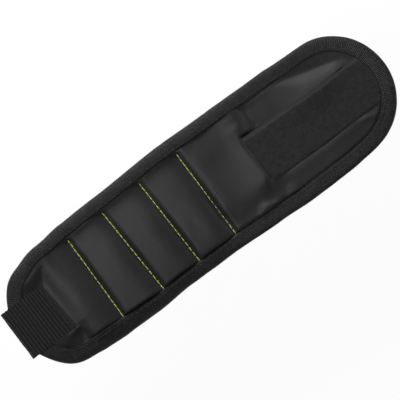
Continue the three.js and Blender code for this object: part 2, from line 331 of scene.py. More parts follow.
def face_middles(piece, values):
    """The mean of a value over each face's corners."""
    mesh = piece.data
    corners = read(mesh.loops, "vertex_index", kind=int)
    starts = read(mesh.polygons, "loop_start", kind=int)
    return np.add.reduceat(values[corners], starts) / np.diff(np.append(starts, len(corners)))


def zone_of(x):
    return np.searchsorted(np.array(CUTS), x)


def cut_apart(whole, part_of_face, names, thickness, drop=None):
    """Cuts a sheet into closed parts that meet without a crease, since each keeps the whole sheet's slopes.
    The thickness goes inwards, or straight up or down where drop is 1 or -1."""
    mark(whole, "whole_normal", normals_of(whole))
    parts = []
    for number, name in enumerate(names):
        part = duplicate(whole, name)
        edit_faces(part, part_of_face != number)
        bpy.ops.mesh.delete(type="FACE")
        bpy.ops.object.mode_set(mode="OBJECT")
        if drop:
            shift = {"value": (0, 0, drop * thickness * MM)}
            edit_all(part, bpy.ops.mesh.extrude_region_move, TRANSFORM_OT_translate=shift)
            edit_all(part, bpy.ops.mesh.normals_make_consistent, inside=False)
        else:
            finish_with(part, "SOLIDIFY", thickness=thickness * MM, offset=-1, use_even_offset=True)
        smooth(part)
        keep_slopes(part)
        parts.append(part)
    discard(whole)
    return parts


def keep_slopes(part):
    """Gives the broad faces of a cut sheet the slopes that the whole sheet had."""
    mesh = part.data
    corners = read(mesh.loops, "vertex_index", kind=int)
    sides = read(mesh.polygons, "loop_total", kind=int)
    faces = np.repeat(read(mesh.polygons, "normal", 3), sides, axis=0)
    whole = marked(part, "whole_normal")[corners]
    along = np.sum(whole * faces, axis=1)
    facing = np.where(np.abs(along) > 0.6, np.sign(along), 0)[:, None] * whole
    mesh.normals_split_custom_set(facing.tolist())
    mesh.attributes.remove(mesh.attributes["whole_normal"])


def bend(piece, zone):
    """Bakes a piece's place into its mesh. The fold line of its zone and the runs before and after it are
    worked out but not used.
    """
    fold = EDGES[zone + 1]
    before, after = BEND_RUNS[zone]
    start = ((fold - before) * MM, 0, 0)
    end = ((fold + after) * MM, 0, 0)
    PANELS[zone + 1]
    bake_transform(piece)


def zone_ends(zone):
    ends = [LEFT, *CUTS, RIGHT]
    return ends[zone], ends[zone + 1]


def flat_cut(zone, inset):
    """Length and width of a zone's flat cut, in metres, and its area."""
    start, end = zone_ends(zone)
    places = np.linspace(start, end, 200)
    area = float(np.mean(2 * half_at(places, inset)) * (end - start)) * MM * MM
    return ((end - start) * MM, 2 * (HALF - inset) * MM), area


def wear(piece, finish):
    """Gives a piece its material."""
    piece.data.materials.clear()
    piece.data.materials.append(finish)


def band_parts(sheet, name, slot, thickness, drop, finish):
    """Cuts a sheet over the whole band into parts, one for each zone, and dresses them. Gives each with its
    zone.
    """
    middles = face_middles(sheet, marked(sheet, "lie")[:, 0])
    names = [f"{name}_{PANELS[zone]}_{PANELS[zone + 1]}" for zone in ZONES]
    parts = cut_apart(sheet, zone_of(middles), names, thickness, drop)
    for zone, part in zip(ZONES, parts):
        wear(part, finish)
        bend(part, zone)
        covered = PANELS[zone:] if zone == ZONES[-1] else PANELS[zone:zone + 1]
        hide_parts(*[f"{slot}_{panel}" for panel in covered])
    return zip(ZONES, parts)


# Materials


class Wire:
    """A shader socket. Arithmetic on it adds Math nodes to its material."""

    def __init__(self, finish, socket):
        self.finish = finish
        self.socket = socket

    def maths(self, operation, first, second=0.0):
        return self.finish.node("ShaderNodeMath", {0: first, 1: second}, operation=operation)

    def __add__(self, other):
        return self.maths("ADD", self, other)

    __radd__ = __add__

    def __mul__(self, other):
        return self.maths("MULTIPLY", self, other)

    def __sub__(self, other):
        return self.maths("SUBTRACT", self, other)

    def __rsub__(self, other):
        return self.maths("SUBTRACT", other, self)

    def __pow__(self, other):
        return self.maths("POWER", self, other)

    def sine(self):
        return self.maths("SINE", self)

    def absolute(self):
        return self.maths("ABSOLUTE", self)

    def clamp(self):
        return self.finish.node("ShaderNodeClamp", {"Value": self})

    def over(self, start, end):
        """0 up to start, 1 from end on."""
        sockets = {"Value": self, "From Min": start, "From Max": end}
        return self.finish.node("ShaderNodeMapRange", sockets, interpolation_type="SMOOTHSTEP")

    def wave(self, pitch):
        """A sine wave of that length in millimetres, from -1 to 1."""
        return (self * (2 * math.pi / pitch)).sine()

    def ribs(self, pitch):
        """A sine wave from 0 to 1."""
        return self.wave(pitch) * 0.5 + 0.5


class Finish:
    """A procedural material under construction, or the world's nodes."""

    def __init__(self, owner):
        owner.use_nodes = True
        self.owner = owner
        self.tree = owner.node_tree
        self.tree.nodes.clear()

    def node(self, kind, sockets=None, out=0, **settings):
        """Adds a node: its settings are set first, then the values or links of its sockets."""
        made = self.tree.nodes.new(kind)
        for key, value in settings.items():
            setattr(made, key, value)
        for key, value in (sockets or {}).items():
            if isinstance(value, Wire):
                self.tree.links.new(value.socket, made.inputs[key])
            else:
                made.inputs[key].default_value = value
        return Wire(self, made.outputs[out])

    def lie(self):
        """Distances along and across the cloth, in millimetres."""
        vector = self.node("ShaderNodeAttribute", out="Vector", attribute_name="lie")
        return [self.node("ShaderNodeSeparateXYZ", {0: vector}, axis) for axis in (0, 1)]

    def pattern(self, kind, size, **sockets):
        """A texture with features of that size in millimetres."""
        place = self.node("ShaderNodeTexCoord", out="Object")
        return self.node(kind, {"Vector": place, "Scale": 1 / (size * MM), **sockets})

    def noise(self, size, detail=2.0, rough=0.5):
        return self.pattern("ShaderNodeTexNoise", size, Detail=detail, Roughness=rough)

    def mix(self, share, first, second):
        """One colour into another."""
        return self.node("ShaderNodeMix", {0: share, 6: first, 7: second}, 2, data_type="RGBA")

    def tint(self, share, colour, dark, light):
        """A colour's darker shade into its lighter one."""
        return self.mix(share, grey(colour, dark), grey(colour, light))

    def shade(self, base, rough, relief, specular=0.5, sheen=0.0, sheen_rough=0.5, metal=0.0):
        """Ends the material. Its relief is a pattern from 0 to 1, a depth in millimetres and a strength."""
        height, depth, strength = relief
        bump = self.node("ShaderNodeBump", {"Height": height, "Distance": depth * MM, "Strength": strength})
        return self.end(self.node("ShaderNodeBsdfPrincipled", {
            "Base Color": base, "Roughness": rough, "Normal": bump, "Specular IOR Level": specular,
            "Sheen Weight": sheen, "Sheen Roughness": sheen_rough, "Metallic": metal}))

    def end(self, surface, kind="ShaderNodeOutputMaterial"):
        made = self.tree.nodes.new(kind)
        self.tree.links.new(surface.socket, made.inputs["Surface"])
        return self.owner


def new_finish(name):
    return Finish(bpy.data.materials.new(name))


def grey(colour, share):
    """A colour made lighter or darker."""
    return (colour[0] * share, colour[1] * share, colour[2] * share, 1.0)


def cloth_finish(colour):
    """Coated cloth: fine plain weave under a thin skin, with a soft uneven gloss."""
    f = new_finish("coated_cloth")
    along, across = f.lie()
    weave = along.wave(1.24) * across.wave(1.24) * 0.5 + 0.5
    cloud = f.noise(26, 3.0)
    grain = f.noise(1.6, 3.0, 0.6)
    tone = (cloud * 0.5 + grain * 0.3 + weave * 0.2).over(0.25, 0.75)
    base = f.tint(tone, colour, 0.72, 1.3)
    height = weave * 0.55 + grain * 0.45
    return f.shade(base, 0.40 + grain * 0.12 + cloud * 0.06, (height, 0.035, 0.8), specular=0.43)


def binding_finish(colour):
    """Grosgrain tape: close ribs across the tape, matt, with uneven yarn."""
    f = new_finish("grosgrain_binding")
    along, across = f.lie()
    ribs = along.ribs(1.1)
    fuzz = f.noise(0.7, 2.0, 0.7)
    clump = f.noise(2.3, 2.0, 0.6)
    tone = (ribs * 0.2 + fuzz * 0.25 + clump * 0.55).over(0.38, 0.62)
    base = f.tint(tone, colour, 0.1, 2.1)
    height = ribs * 0.35 + across.ribs(0.55) * 0.1 + fuzz * 0.15 + clump * 0.4
    return f.shade(base, 0.3 + clump * 0.32, (height, 0.42, 0.9), specular=0.34, sheen=0.04)


def loop_finish(colour):
    """Loop pile: a mat of fine loops over the knit's slanting rows, with a bare selvedge above it."""
    f = new_finish("loop_pile")
    along, across = f.lie()
    fuzz = f.noise(0.55, 3.0, 0.75)
    clump = f.noise(2.4, 2.0, 0.6)
    slant = (along + across).wave(2.3) * (along - across).wave(2.9)
    weave = along.ribs(0.9)
    tone = (fuzz * 0.5 + clump * 0.3 + slant * 0.08 + 0.08).over(0.25, 0.7)
    bare = across.over(TAPE_HALF - SELVEDGE - 0.4, TAPE_HALF - SELVEDGE + 0.1)
    woven = f.tint(weave * 0.5 + fuzz * 0.5, colour, 0.75, 1.5)
    base = f.mix(bare, f.tint(tone, colour, 0.45, 1.55), woven)
    height = (fuzz * 0.7 + clump * 0.3) * (1 - bare * 0.75) + weave * bare * 0.2
    return f.shade(base, 0.92 - bare * 0.32, (height, 0.25, 0.9), specular=0.2, sheen=0.22, sheen_rough=0.4)


def webbing_finish(colour):
    """Woven elastic: a yarn over each rib, and fine warp ends along the strap."""
    f = new_finish("ribbed_elastic")
    along, across = f.lie()
    yarn = across.ribs(0.8)
    fuzz = f.noise(0.6, 2.0, 0.7)
    clump = f.noise(1.7, 2.0, 0.6)
    tone = (along.ribs(STRAP_RIB) * 0.5 + clump * 0.35 + yarn * 0.15).over(0.3, 0.7)
    base = f.tint(tone, colour, 0.1, 2.6)
    height = yarn * 0.35 + fuzz * 0.35 + clump * 0.3
    return f.shade(base, 0.7 + fuzz * 0.15, (height, 0.16, 0.9), specular=0.27, sheen=0.09)


def lining_finish(colour):
    """Air mesh: rows of small round openings in a soft knit."""
    f = new_finish("air_mesh_lining")
    along, across = f.lie()
    knit = 1 - (along.wave(4.4) * across.wave(4.4 / 1.15)).absolute().over(0.55, 0.85)
    fuzz = f.noise(0.5, 2.0, 0.7)
    base = f.tint(knit * 0.7 + fuzz * 0.3, colour, 0.25, 1.4)
    return f.shade(base, 0.9, (knit * 0.75 + fuzz * 0.25, 0.4, 0.9), specular=0.25, sheen=0.2)


def foam_finish(colour):
    """Open-cell foam."""
    f = new_finish("pad_foam")
    cell = f.pattern("ShaderNodeTexVoronoi", 0.9)
    base = f.tint(cell * 0.6 + f.noise(6) * 0.4, colour, 0.5, 1.3)
    return f.shade(base, 0.97, (cell, 0.25, 0.8), specular=0.2)


def nickel_finish(colour):
    """Nickel plate on the magnets, lightly scuffed."""
    f = new_finish("nickel_plate")
    scuff = f.noise(1.2, 4.0, 0.7)
    base = f.tint(f.noise(9), colour, 0.85, 1.1)
    return f.shade(base, 0.18 + scuff * 0.22, (scuff, 0.01, 0.5), metal=1.0)


def thread_finish(name, colour):
    """Twisted sewing thread: slanting plies with a slight gloss."""
    f = new_finish(name)
    along, around = f.lie()
    ply = ((along * 5.2 + around * 2.0).sine() * 0.5 + 0.5) ** 0.7
    fuzz = f.noise(0.4, 2.0, 0.7)
    base = f.tint(ply * 0.75 + fuzz * 0.25, colour, 0.45, 1.15)
    return f.shade(base, 0.5 + fuzz * 0.15, (ply, 0.08, 0.9), specular=0.4, sheen=0.1)


def hook_finish(colour):
    """Moulded nylon hooks on a woven ground."""
    f = new_finish("nylon_hooks")
    fuzz = f.noise(0.5, 2.0, 0.6)
    base = f.tint(f.noise(7), colour, 0.7, 1.5)
    return f.shade(base, 0.35 + fuzz * 0.25, (fuzz, 0.03, 0.6))


# What a user would change


def amount(name, default, description, **settings):
    return bpy.props.FloatProperty(name=name, default=default, description=description, **settings)


def length(name, default, description):
    """A length in millimetres, kept in metres."""
    return amount(name, default * MM, description, unit="LENGTH", precision=5)


def colour(name, default, description):
    return bpy.props.FloatVectorProperty(name=name, description=description, default=default, size=3,
                                         subtype="COLOR", min=0, max=1)


class WristbandSizes(bpy.types.PropertyGroup):
    """Sizes of the soft pieces."""

    crown: length("Pocket crown", 3.8, "How far a padded pocket swells above the flat cloth")
    cloth: length("Cloth thickness", 0.6, "Thickness of the outer cloth")
    binding_face: length("Binding face", 8.5, "Width of the folded tape on each face")
    binding_tape: length("Binding tape", 0.55, "Thickness of the binding tape")
    stitch_pitch: length("Seam stitch", 3.3, "Distance from stitch to stitch on the yellow seams")
    stitch_length: length("Seam stitch length", 3.4, "Length of thread that shows in one yellow stitch")
    thread: length("Seam thread", 0.56, "Diameter of the yellow thread")
    edge_pitch: length("Binding stitch", 3.0, "Distance from stitch to stitch on the binding")
    strap: length("Strap thickness", 1.0, "Thickness of the elastic strap between its ribs")
    rib: length("Strap rib", 0.3, "How far the strap's ribs stand up")
    pile: length("Loop pile", 0.35, "How uneven the loop tape's pile is")


class WristbandColours(bpy.types.PropertyGroup):
    """Colours of the finishes."""

    cloth: colour("Cloth", (0.0106, 0.0106, 0.0108), "Coated outer cloth")
    binding: colour("Binding", (0.0054, 0.0054, 0.0056), "Grosgrain binding")
    loop: colour("Loop tape", (0.0208, 0.0208, 0.0211), "Loop pile")
    webbing: colour("Strap", (0.0053, 0.0053, 0.0055), "Elastic strap")
    lining: colour("Lining", (0.021, 0.021, 0.022), "Air mesh lining")
    foam: colour("Foam", (0.07, 0.07, 0.072), "Pad foam")
    nickel: colour("Magnets", (0.62, 0.61, 0.58), "Nickel plate")
    seam: colour("Seam thread", (0.62, 0.64, 0.10), "Yellow seam thread")
    black: colour("Black thread", (0.012, 0.012, 0.0125), "Thread of the binding and the strap")
    hook: colour("Hook tape", (0.014, 0.014, 0.0145), "Nylon hooks")
    floor: colour("Floor", (0.86, 0.86, 0.86), "Pale studio floor")


class WristbandStage(bpy.types.PropertyGroup):
    """Camera and light."""

    distance: length("Camera height", 900, "Camera's height above the band")
    across: length("View width", 228.4, "Width that the picture takes in")
    turn: amount("Turn", math.radians(36.9), "How far the band is turned in the picture", subtype="ANGLE")
    key: amount("Key light", 8.6, "Power of the light beside the band", unit="POWER")
    top: amount("Top light", 2.7, "Power of the light above the band", unit="POWER")
    rim: amount("Rim light", 1.15, "Power of the low light at the plain end", unit="POWER")
    sky: amount("Sky", 0.13, "Strength of the even light from all round")


def sizes():
    return bpy.context.scene.wristband_sizes


def colours():
    return bpy.context.scene.wristband_colours


# Heights of the layers, in millimetres above the lining's underside
FLAT_CLOTH = 2.2
BINDING_TOP = 3.0
LOOP_BASE = 2.4
PAD_BASE = 1.65
# How far inside the edge the pads, the cloth and the lining end, and how fine their grids are
CROWN_INSET = 9.0
CLOTH_STEP = 1.3
CLOTH_TUCK = 6.0
LINING_STEP = 2.2
LINING_ROWS = 36
LINING_INSET = 0.8
LINING_THICK = 0.6
# The loop tape, as wide as the strap: half of its width, its grid, how far inside the edge its round end is,
# its thickness and its bare selvedges
TAPE_HALF = 15.0
TAPE_ROWS = 48
TAPE_STEP = 0.9
TAPE_ROUND = 18
TAPE_INSET = 8.8
TAPE_THICK = 0.55
SELVEDGE = 1.9
LOWER_SELVEDGE = 0.4
# The strap: its ribs' pitch, its grid's rows, half of its thickness, and how far off and aslant it is sewn on
STRAP_RIB = 2.0
STRAP_ROWS = 30
STRAP_HALF = 0.55
STRAP_SHIFT = 0.45
STRAP_SLANT = 0.075
# The strap's climb onto the binding: distance from its fold, and length. Its line's points and smoothing passes
STRAP_CLIMB = 11.7
CLIMB_LENGTH = 3.0
LINE_POINTS = 40
LINE_PASSES = 6
# The zigzag row that holds the strap, with its distance from the strap's end and height above its middle
ZIGZAGS = 34
ZIGZAG_LENGTH = 1.9
ZIGZAG_THREAD = 0.42
ZIGZAG_SLOPE = 0.42
ZIGZAG_INSET = 1.7
ZIGZAG_RISE = 0.54
# The hook tape: hooks along and across it, its ground's thickness, its margin, a hook's foot and how it grows
HOOKS = (15, 22)
HOOK_GROUND = 0.36
HOOK_MARGIN = 0.9
HOOK_FOOT = (0.3, 0.22, 0.22)
HOOK_CURL = ((0.02, 0.16, 0.9), (0.09, 0.10, 0.92), (0.14, 0.01, 0.9), (0.08, -0.10, 0.8))
# The pads: cuts in each of their edges, how round they are, their play in the pocket and depth under the cloth
PAD_CUTS = 15
PAD_ROUND = 0.8
PAD_PLAY = (0.6, 1.2)
PAD_COVER = 1.15
# The magnets' wells in the pads: room round a magnet and under it, depth of the cut, and sides
WELL_ROOM = 0.3
WELL_FLOOR = 0.35
WELL_DEPTH = 6.0
WELL_SIDES = 40
# Width of the binding on each face, and of its tape before the fold
BINDING_FACE = 8.5
BINDING_WIDTH = 20.0
# The folded tape's section, from its upper inner edge to the lower: distance from the band's edge, height
BINDING_SECTION = ((8.5, 2.92), (8.15, 3.02), (6.6, 3), (5, 3.1), (3.3, 3.12), (1.7, 3.02), (0.7, 2.72),
                   (0.12, 2.15), (0, 1.5), (0.12, 0.85), (0.7, 0.3), (1.7, 0.04), (3.3, 0), (5.8, 0),
                   (8.2, 0), (8.5, 0.08))
# How many of the section's points the padding lifts, and how far apart the sections are
TOP_ROWS = 9
RIM_STEP = 1.5
# The binding's stitches: distance from the edge, length as a share of their pitch, and thread
STITCH_INSET = 7.2
STITCH_SHARE = 0.82
EDGE_THREAD = 0.45
# Rows of the cloth's grid, by their distance from the band's edge: closer beside the binding and the tape
CLOTH_INSETS = (6, 7.2, 8, 8.4, 8.7, 9, 9.3, 9.7, 10.2, 10.9, 11.8, 12.9, 14, 15.2, 16.4, 17.6, 18.6,
                19.4, 20.2, 21, 21.8, 22.6, 23.4, 24.2, 25, 25.8, 26.8, 28.4, 30.2, 32, 33.8, 35.8)
# How far the padding lifts the binding, by distance from the band's edge, and how that varies along the band
UPPER_ROLL = ((0, 1.2), (0.12, 2.35), (0.7, 2.8), (1.7, 3), (3.3, 3.22), (5, 3.4), (6.6, 3.45),
              (8.5, 3.2))
UPPER_RUN = ((2, 0), (24, 0.95), (44, 0.95), (62, 1), (158, 1), (190, 0.12), (232, 0.12), (252, 0))
LOWER_ROLL = ((0, 0), (0.5, 0), (8.5, 2.9))
LOWER_RUN = ((2, 0), (14, 0.45), (26, 0.5), (36, 1), (75, 1), (115, 0.6), (142, -0.1), (220, -0.1),
             (248, 0))
# How the sewn loop tape strays across the band, and how far the last pad lifts its end
TAPE_STRAY = ((167, -1.5), (250, -2.9))
TAPE_LIFT = 1.5
# How full the pads are along the band, as shares of a pocket's crown: between two seams, first and last
PAD = ((0.5, 0), (1.5, 0.42), (3.2, 0.77), (6.5, 0.88), (11, 0.95), (16, 1), (20, 0.88), (23.2, 0.56),
       (25.2, 0.22), (26, 0))
FIRST_PAD = ((28.2, 0), (29.5, 0.08), (31.5, 0.3), (34, 0.6), (37, 0.88), (40, 1), (43.5, 0.95),
             (47, 0.79), (50.5, 0.48), (52.4, 0.2), (53.1, 0))
LAST_PAD = ((133.2, 0), (134.2, 0.55), (135.6, 0.84), (138.5, 0.89), (143, 0.84), (149, 0.79),
            (154, 0.82), (160, 0.94), (164, 1.07), (166.8, 1.12))
# How full the pads are across the band, where 1 is the binding's inner edge: in pockets 2 and 3, 1, 4, 5
ACROSS = ((-1, 0), (-0.985, 0.42), (-0.955, 0.67), (-0.9, 0.77), (-0.84, 0.8), (-0.63, 0.88),
          (-0.49, 0.935), (-0.35, 0.975), (-0.1, 1), (0.14, 0.985), (0.28, 0.935), (0.42, 0.84),
          (0.56, 0.725), (0.66, 0.645), (0.74, 0.59), (0.8, 0.575), (0.86, 0.59), (0.93, 0.66), (1, 0.8),
          (1.05, 0.83))
FIRST_ACROSS = ((-1, 0), (-0.985, 0.22), (-0.96, 0.34), (-0.92, 0.41), (-0.84, 0.46), (-0.7, 0.55),
                (-0.5, 0.67), (-0.3, 0.78), (-0.1, 0.83), (0.1, 0.82), (0.3, 0.795), (0.5, 0.765),
                (0.7, 0.735), (0.8, 0.725), (0.9, 0.73), (1, 0.74), (1.05, 0.74))
FOURTH_ACROSS = ((-1, 0), (-0.985, 0.42), (-0.955, 0.68), (-0.9, 0.8), (-0.84, 0.86), (-0.63, 0.98),
                 (-0.49, 1.03), (-0.4, 1.035), (-0.25, 1), (0, 0.91), (0.14, 0.855), (0.28, 0.8),
                 (0.42, 0.74), (0.56, 0.67), (0.66, 0.615), (0.74, 0.58), (0.8, 0.57), (0.86, 0.59),
                 (0.93, 0.66), (1, 0.8), (1.05, 0.83))
LAST_ACROSS = ((-1, 0.1), (-0.975, 0.5), (-0.95, 0.68), (-0.9, 0.72), (-0.83, 0.73), (-0.75, 0.79),
               (-0.65, 0.92), (-0.55, 1.03), (-0.45, 1.08), (-0.35, 1.06), (-0.2, 0.995), (0, 0.895),
               (0.2, 0.795), (0.35, 0.745), (0.5, 0.72), (0.7, 0.7), (0.85, 0.69), (0.95, 0.7),
               (1.05, 0.71))

# A soft lump of the cloth above the loop tape: place along the band, place across it, reach and height
LUMP = (196.0, 22.0, 15.0, 0.3)
# A round lump under the cloth beside the loop tape's corner
DISC_PLACE = (167.4, 23.8)
DISC_REACH = 5.2
DISC_RISE = 1.5
# The bump beside the lower binding: its height, and its upper limit along the band and across it
BUMP_RISE = 1.1
BUMP_LINE = ((146, -28.5), (150, -25.5), (154.5, -21.5), (157, -21.8), (161, -24.5), (168, -28))
# The bright fold beside the loop tape: where it comes and goes along the band, and the line it rises from
FOLD_RUN = (192, 218, 232, 250)
FOLD_LINE = (207, 27.3, -0.32)
# Where the tab's cloth passes into the first pocket, and the last pocket's into the plain end
TAB_END = (31, 38)
PLAIN_START = (172, 188)
# Creases: start and end, along and across the band, then half width and height
CREASES = (
    ((11.8, -16.2), (17.0, -23.0), 1.0, 0.9), ((22.5, -16.8), (30.0, -17.6), 1.2, 0.7),
    ((34.5, -15.0), (29.0, -25.0), 2.2, -0.4), ((26.5, 24.6), (34.5, 26.4), 0.8, 0.35),
    ((227.0, -18.5), (241.0, -22.8), 1.0, 0.6),
)


def tape_middle(station):
    """The loop tape's middle line, which is sewn on a little askew."""
    (start, first), (end, last) = TAPE_STRAY
    return first + (station - start) / (end - start) * (last - first)


def tape_lift(station, y):
    """How far the loop tape is lifted: its end by the last pad, its upper edge by the fold beside it."""
    edge = tape_middle(station) + TAPE_HALF
    share = (0.95 - 0.55 * step_up(station, 228, 236)) * step_up(y, edge - 16, edge)
    return TAPE_LIFT * step_down(station, 167, 180) + glare_fold(station, edge) * share


def roll_at(x, y, inset):
    """How far the padding lifts the binding: less at the seams, and hardly at the plain end."""
    station = x - LEFT
    upper = np.interp(inset, *zip(*UPPER_ROLL)) * ease(station, UPPER_RUN)
    lower = np.interp(inset, *zip(*LOWER_ROLL)) * ease(station, LOWER_RUN)
    pull = sum(np.exp(-((x - seam) / 4.0) ** 2) for seam in EDGES[2:6])
    return (1 - 0.3 * pull) * np.where(y > 0, upper, lower)


def crown_along(x):
    """How full the pockets are along the band."""
    station = x - LEFT
    full = np.where(x < EDGES[2], flow(station, FIRST_PAD), 0)
    for k in POCKETS[1:-1]:
        full = np.where((x >= EDGES[k]) & (x < EDGES[k + 1]), flow(x - EDGES[k], PAD), full)
    full = np.where(x >= EDGES[5], flow(station, LAST_PAD), full)
    return np.maximum(full, 0)


def crown_at(x, y):
    """How full the padded pockets are, from 0 to about 1: they end gently above and steeply below."""
    station = x - LEFT
    share = np.clip(y / half_at(x, CROWN_INSET), -1, 1.05)
    turned = 0.5 * np.clip(share - 0.1, 0, 1) * step_down(station, 33, 42)
    across = np.where(x < EDGES[2], flow(share, FIRST_ACROSS) + turned, flow(share, ACROSS))
    across = np.where(x > EDGES[4], flow(share, FOURTH_ACROSS), across)
    lean = 0.45 * share * step_up(station, 138, 164) * (1 - step_up(np.abs(share), 0.3, 0.9))
    across = np.where(x > EDGES[5], flow(share, LAST_ACROSS) - lean, across)
    edge = tape_middle(station) + TAPE_HALF
    above = step_down(station, 171, 180.5)
    below = 1 - 0.75 * step_up(station, 157, 174)
    over = step_up(y, edge + 0.1, edge + 1.9)
    near = TAPE_HALF - tape_middle(station) - 3
    near = near - 4.5 * step_up(station, 164, 168) + 2.5 * step_up(station, 171, 178)
    under = step_up(-y, near, near + 8)
    between = (1 - over) * (1 - under) * (station < 167.5)
    return crown_along(x) * np.maximum(across, 0) * (over * above + under * below + between)


def loose_cloth(x, y):
    """Lumps, creases and folds of the cloth where no pad or strap holds it."""
    station = x - LEFT
    place, side, reach, height = LUMP
    rise = height * np.exp(-2.2 * (np.hypot(station - place, y - side) / reach) ** 3.4)
    along, across = station - DISC_PLACE[0], y - DISC_PLACE[1]
    away = np.hypot(along, across)
    taped = step_up(along, -2.0, 0.5)
    hump = 0.25 * step_up(-across, -5.0, 0.0) + 0.75 * step_up(-across, -1.0, 5.5)
    hump = hump * step_down(-across, 5.5 + 2.9 * taped, 34 - 24 * taped)
    rise += DISC_RISE * hump * np.exp(-np.abs(along / DISC_REACH) ** 2.4)
    rise -= 0.35 * np.exp(-((away - 10.0) / 1.5) ** 2) * step_up(along, 3, 8)
    for (x0, y0), (x1, y1), width, height in CREASES:
        long = math.hypot(x1 - x0, y1 - y0)
        along = ((station - x0) * (x1 - x0) + (y - y0) * (y1 - y0)) / long
        away = ((station - x0) * (y1 - y0) - (y - y0) * (x1 - x0)) / long
        taper = step_up(along, -1, long * 0.3) * step_down(along, long * 0.7, long + 1)
        rise += height * np.exp(-(away / width) ** 2) * taper
    rise -= 0.4 * np.exp(-((y - fold_line(station)) / 4.5) ** 2) * fold_run(station) * step_up(y, 12, 18)
    return rise


def tape_side(x, y):
    """The cloth beside the loop tape: it rises to the tape, more at the fold that catches the light."""
    station = x - LEFT
    above = y - tape_middle(station) - TAPE_HALF
    below = tape_middle(station) - TAPE_HALF - y
    here = step_up(station, 166, 170)
    rise = (0.35 - 0.25 * step_up(station, 205, 225)) * here * step_up(above, -1.6, -0.8)
    sloping = 0.11 * np.clip(below, 0, 10) * step_down(station, 174, 186)
    rise += here * step_up(below, -1.8, -1.0) * (0.3 - 0.15 * step_up(below, 2, 11) + sloping)
    line = np.exp(-((above - 0.6) / 0.6) ** 2)
    rise += 0.6 * line * (step_up(station, 167, 169) - step_up(station, 174, 184))
    return rise + glare_fold(station, y) * step_up(above, -1.6, -0.8)


def fold_line(station):
    """Where the fold beside the loop tape starts to rise."""
    place, side, slope = FOLD_LINE
    return side + (station - place) * slope


def fold_run(station):
    """Where along the band the fold is."""
    return step_up(station, *FOLD_RUN[:2]) * step_down(station, *FOLD_RUN[2:])


def glare_fold(station, y):
    """The fold beside the loop tape's far end, which faces the light."""
    full = 3.2 + 2.4 * step_up(station, 204, 222)
    steep = 0.40 - 0.06 * step_up(station, 222, 232)
    return full * (1 - np.exp(-steep * np.maximum(fold_line(station) - y, 0) / full)) * fold_run(station)


def held_flat(x, y):
    """1 where the loop tape or the strap lies on the cloth."""
    station = x - LEFT
    aside = np.abs(y - tape_middle(station))
    tape = step_down(aside, TAPE_HALF - 1.8, TAPE_HALF - 1.0)
    tape = step_up(x, EDGES[6] - 0.1, EDGES[6] + 0.5) * tape
    strap = step_down(x, EDGES[1] - 0.2, EDGES[1] + 2.0)
    strap = strap * (1 - step_up(np.abs(y), TAPE_HALF + 0.4, TAPE_HALF + np.where(y > 0, 9.0, 1.6)))
    return tape, strap


def cloth_rise(x, y, crown):
    """How far the cloth stands above its flat height."""
    station = x - LEFT
    inset = inset_at(x, y)
    tab = step_down(station, *TAB_END)
    plain = step_up(station, *PLAIN_START)
    edge_end = np.where(y > 0, 12.5 + 10 * step_down(station, 24, 38) + 5.5 * plain, 9.1 - 0.8 * tab)
    edge_start = np.where(y > 0, 8.6, 8.2 - tab)
    held = np.where(y > 0, 0.77 + 0.2 * tab, np.clip((inset - 1) / 7.5, 0, 1) * 0.96)
    lifted = roll_at(x, y, BINDING_FACE) * held
    lifted += 0.25 * plain * step_down(station, 240, 252) * (y > 0) * step_up(inset, 8.2, 8.7)
    lifted = lifted * step_down(inset, edge_start, edge_end)
    beside = tape_side(x, y) * step_up(inset, 8.8, np.where(y > 0, 12.0, 9.8))
    loose = loose_cloth(x, y) * step_up(inset, CROWN_INSET - 0.2, CROWN_INSET + 2.0)
    for seam in EDGES[2:6]:
        loose = loose * step_up(np.abs(x - seam), 0.4, 3.0)
    padded = np.maximum(crown * crown_at(x, y), beside)
    shelf = 0.5 * step_up(-y, 19.5, 27.5) * step_up(station, 158, 167) * step_down(station, 172, 184)
    bump = BUMP_RISE * step_up(ease(station, BUMP_LINE) - y, 0, 4.4)
    bump = bump * step_up(station, 146, 150) * step_down(station, 162, 168)
    padded = padded + (shelf + bump) * step_up(inset, 8.6, 9.4)
    blended = (padded ** 3 + np.maximum(lifted, 0) ** 3) ** (1 / 3)
    rise = np.maximum(padded, lifted) * (1 - tab) + tab * blended + loose
    rise -= 0.7 * step_up(-y, 16, 24) * step_down(station, 28, 34)
    tape, strap = held_flat(x, y)
    return (rise * (1 - tape) + tape * tape_lift(station, y)) * (1 - strap)


def columns_over(start, end, step, stops):
    """Places from start to end no further apart than step, with the stops among them."""
    inner = [stop for stop in stops if start < stop < end]
    places = [start]
    for low, high in zip([start, *inner], [*inner, end]):
        count = max(1, math.ceil((high - low) / step))
        places.extend(low + (high - low) * (k + 1) / count for k in range(count))
    return np.array(places)


def band_sheet(name, step, shares, inset):
    """A grid laid out over the whole band, with its points' places on the plan."""
    places = columns_over(LEFT + inset + 0.4, RIGHT - inset - 0.4, step, sorted([*EDGES[1:-1], *CUTS]))
    piece, column, row = grid(name, len(places) - 1, len(shares) - 1)
    x = places[column]
    y = np.array(shares)[row] * half_at(x, inset)
    mark_pair(piece, "lie", x, y)
    return piece, x, y


SWELL_FRAMES = 20
SWELL_SETTINGS = {
    "quality": 8, "mass": 0.0001, "tension_stiffness": 8, "compression_stiffness": 8, "shear_stiffness": 3,
    "bending_stiffness": 0.5, "use_pressure": True, "uniform_pressure_force": 4, "vertex_group_mass": "hold",
}
# How far the simulated cloth may move, and how far down
SWELL_LIMIT = 0.4
SINK_LIMIT = -0.1


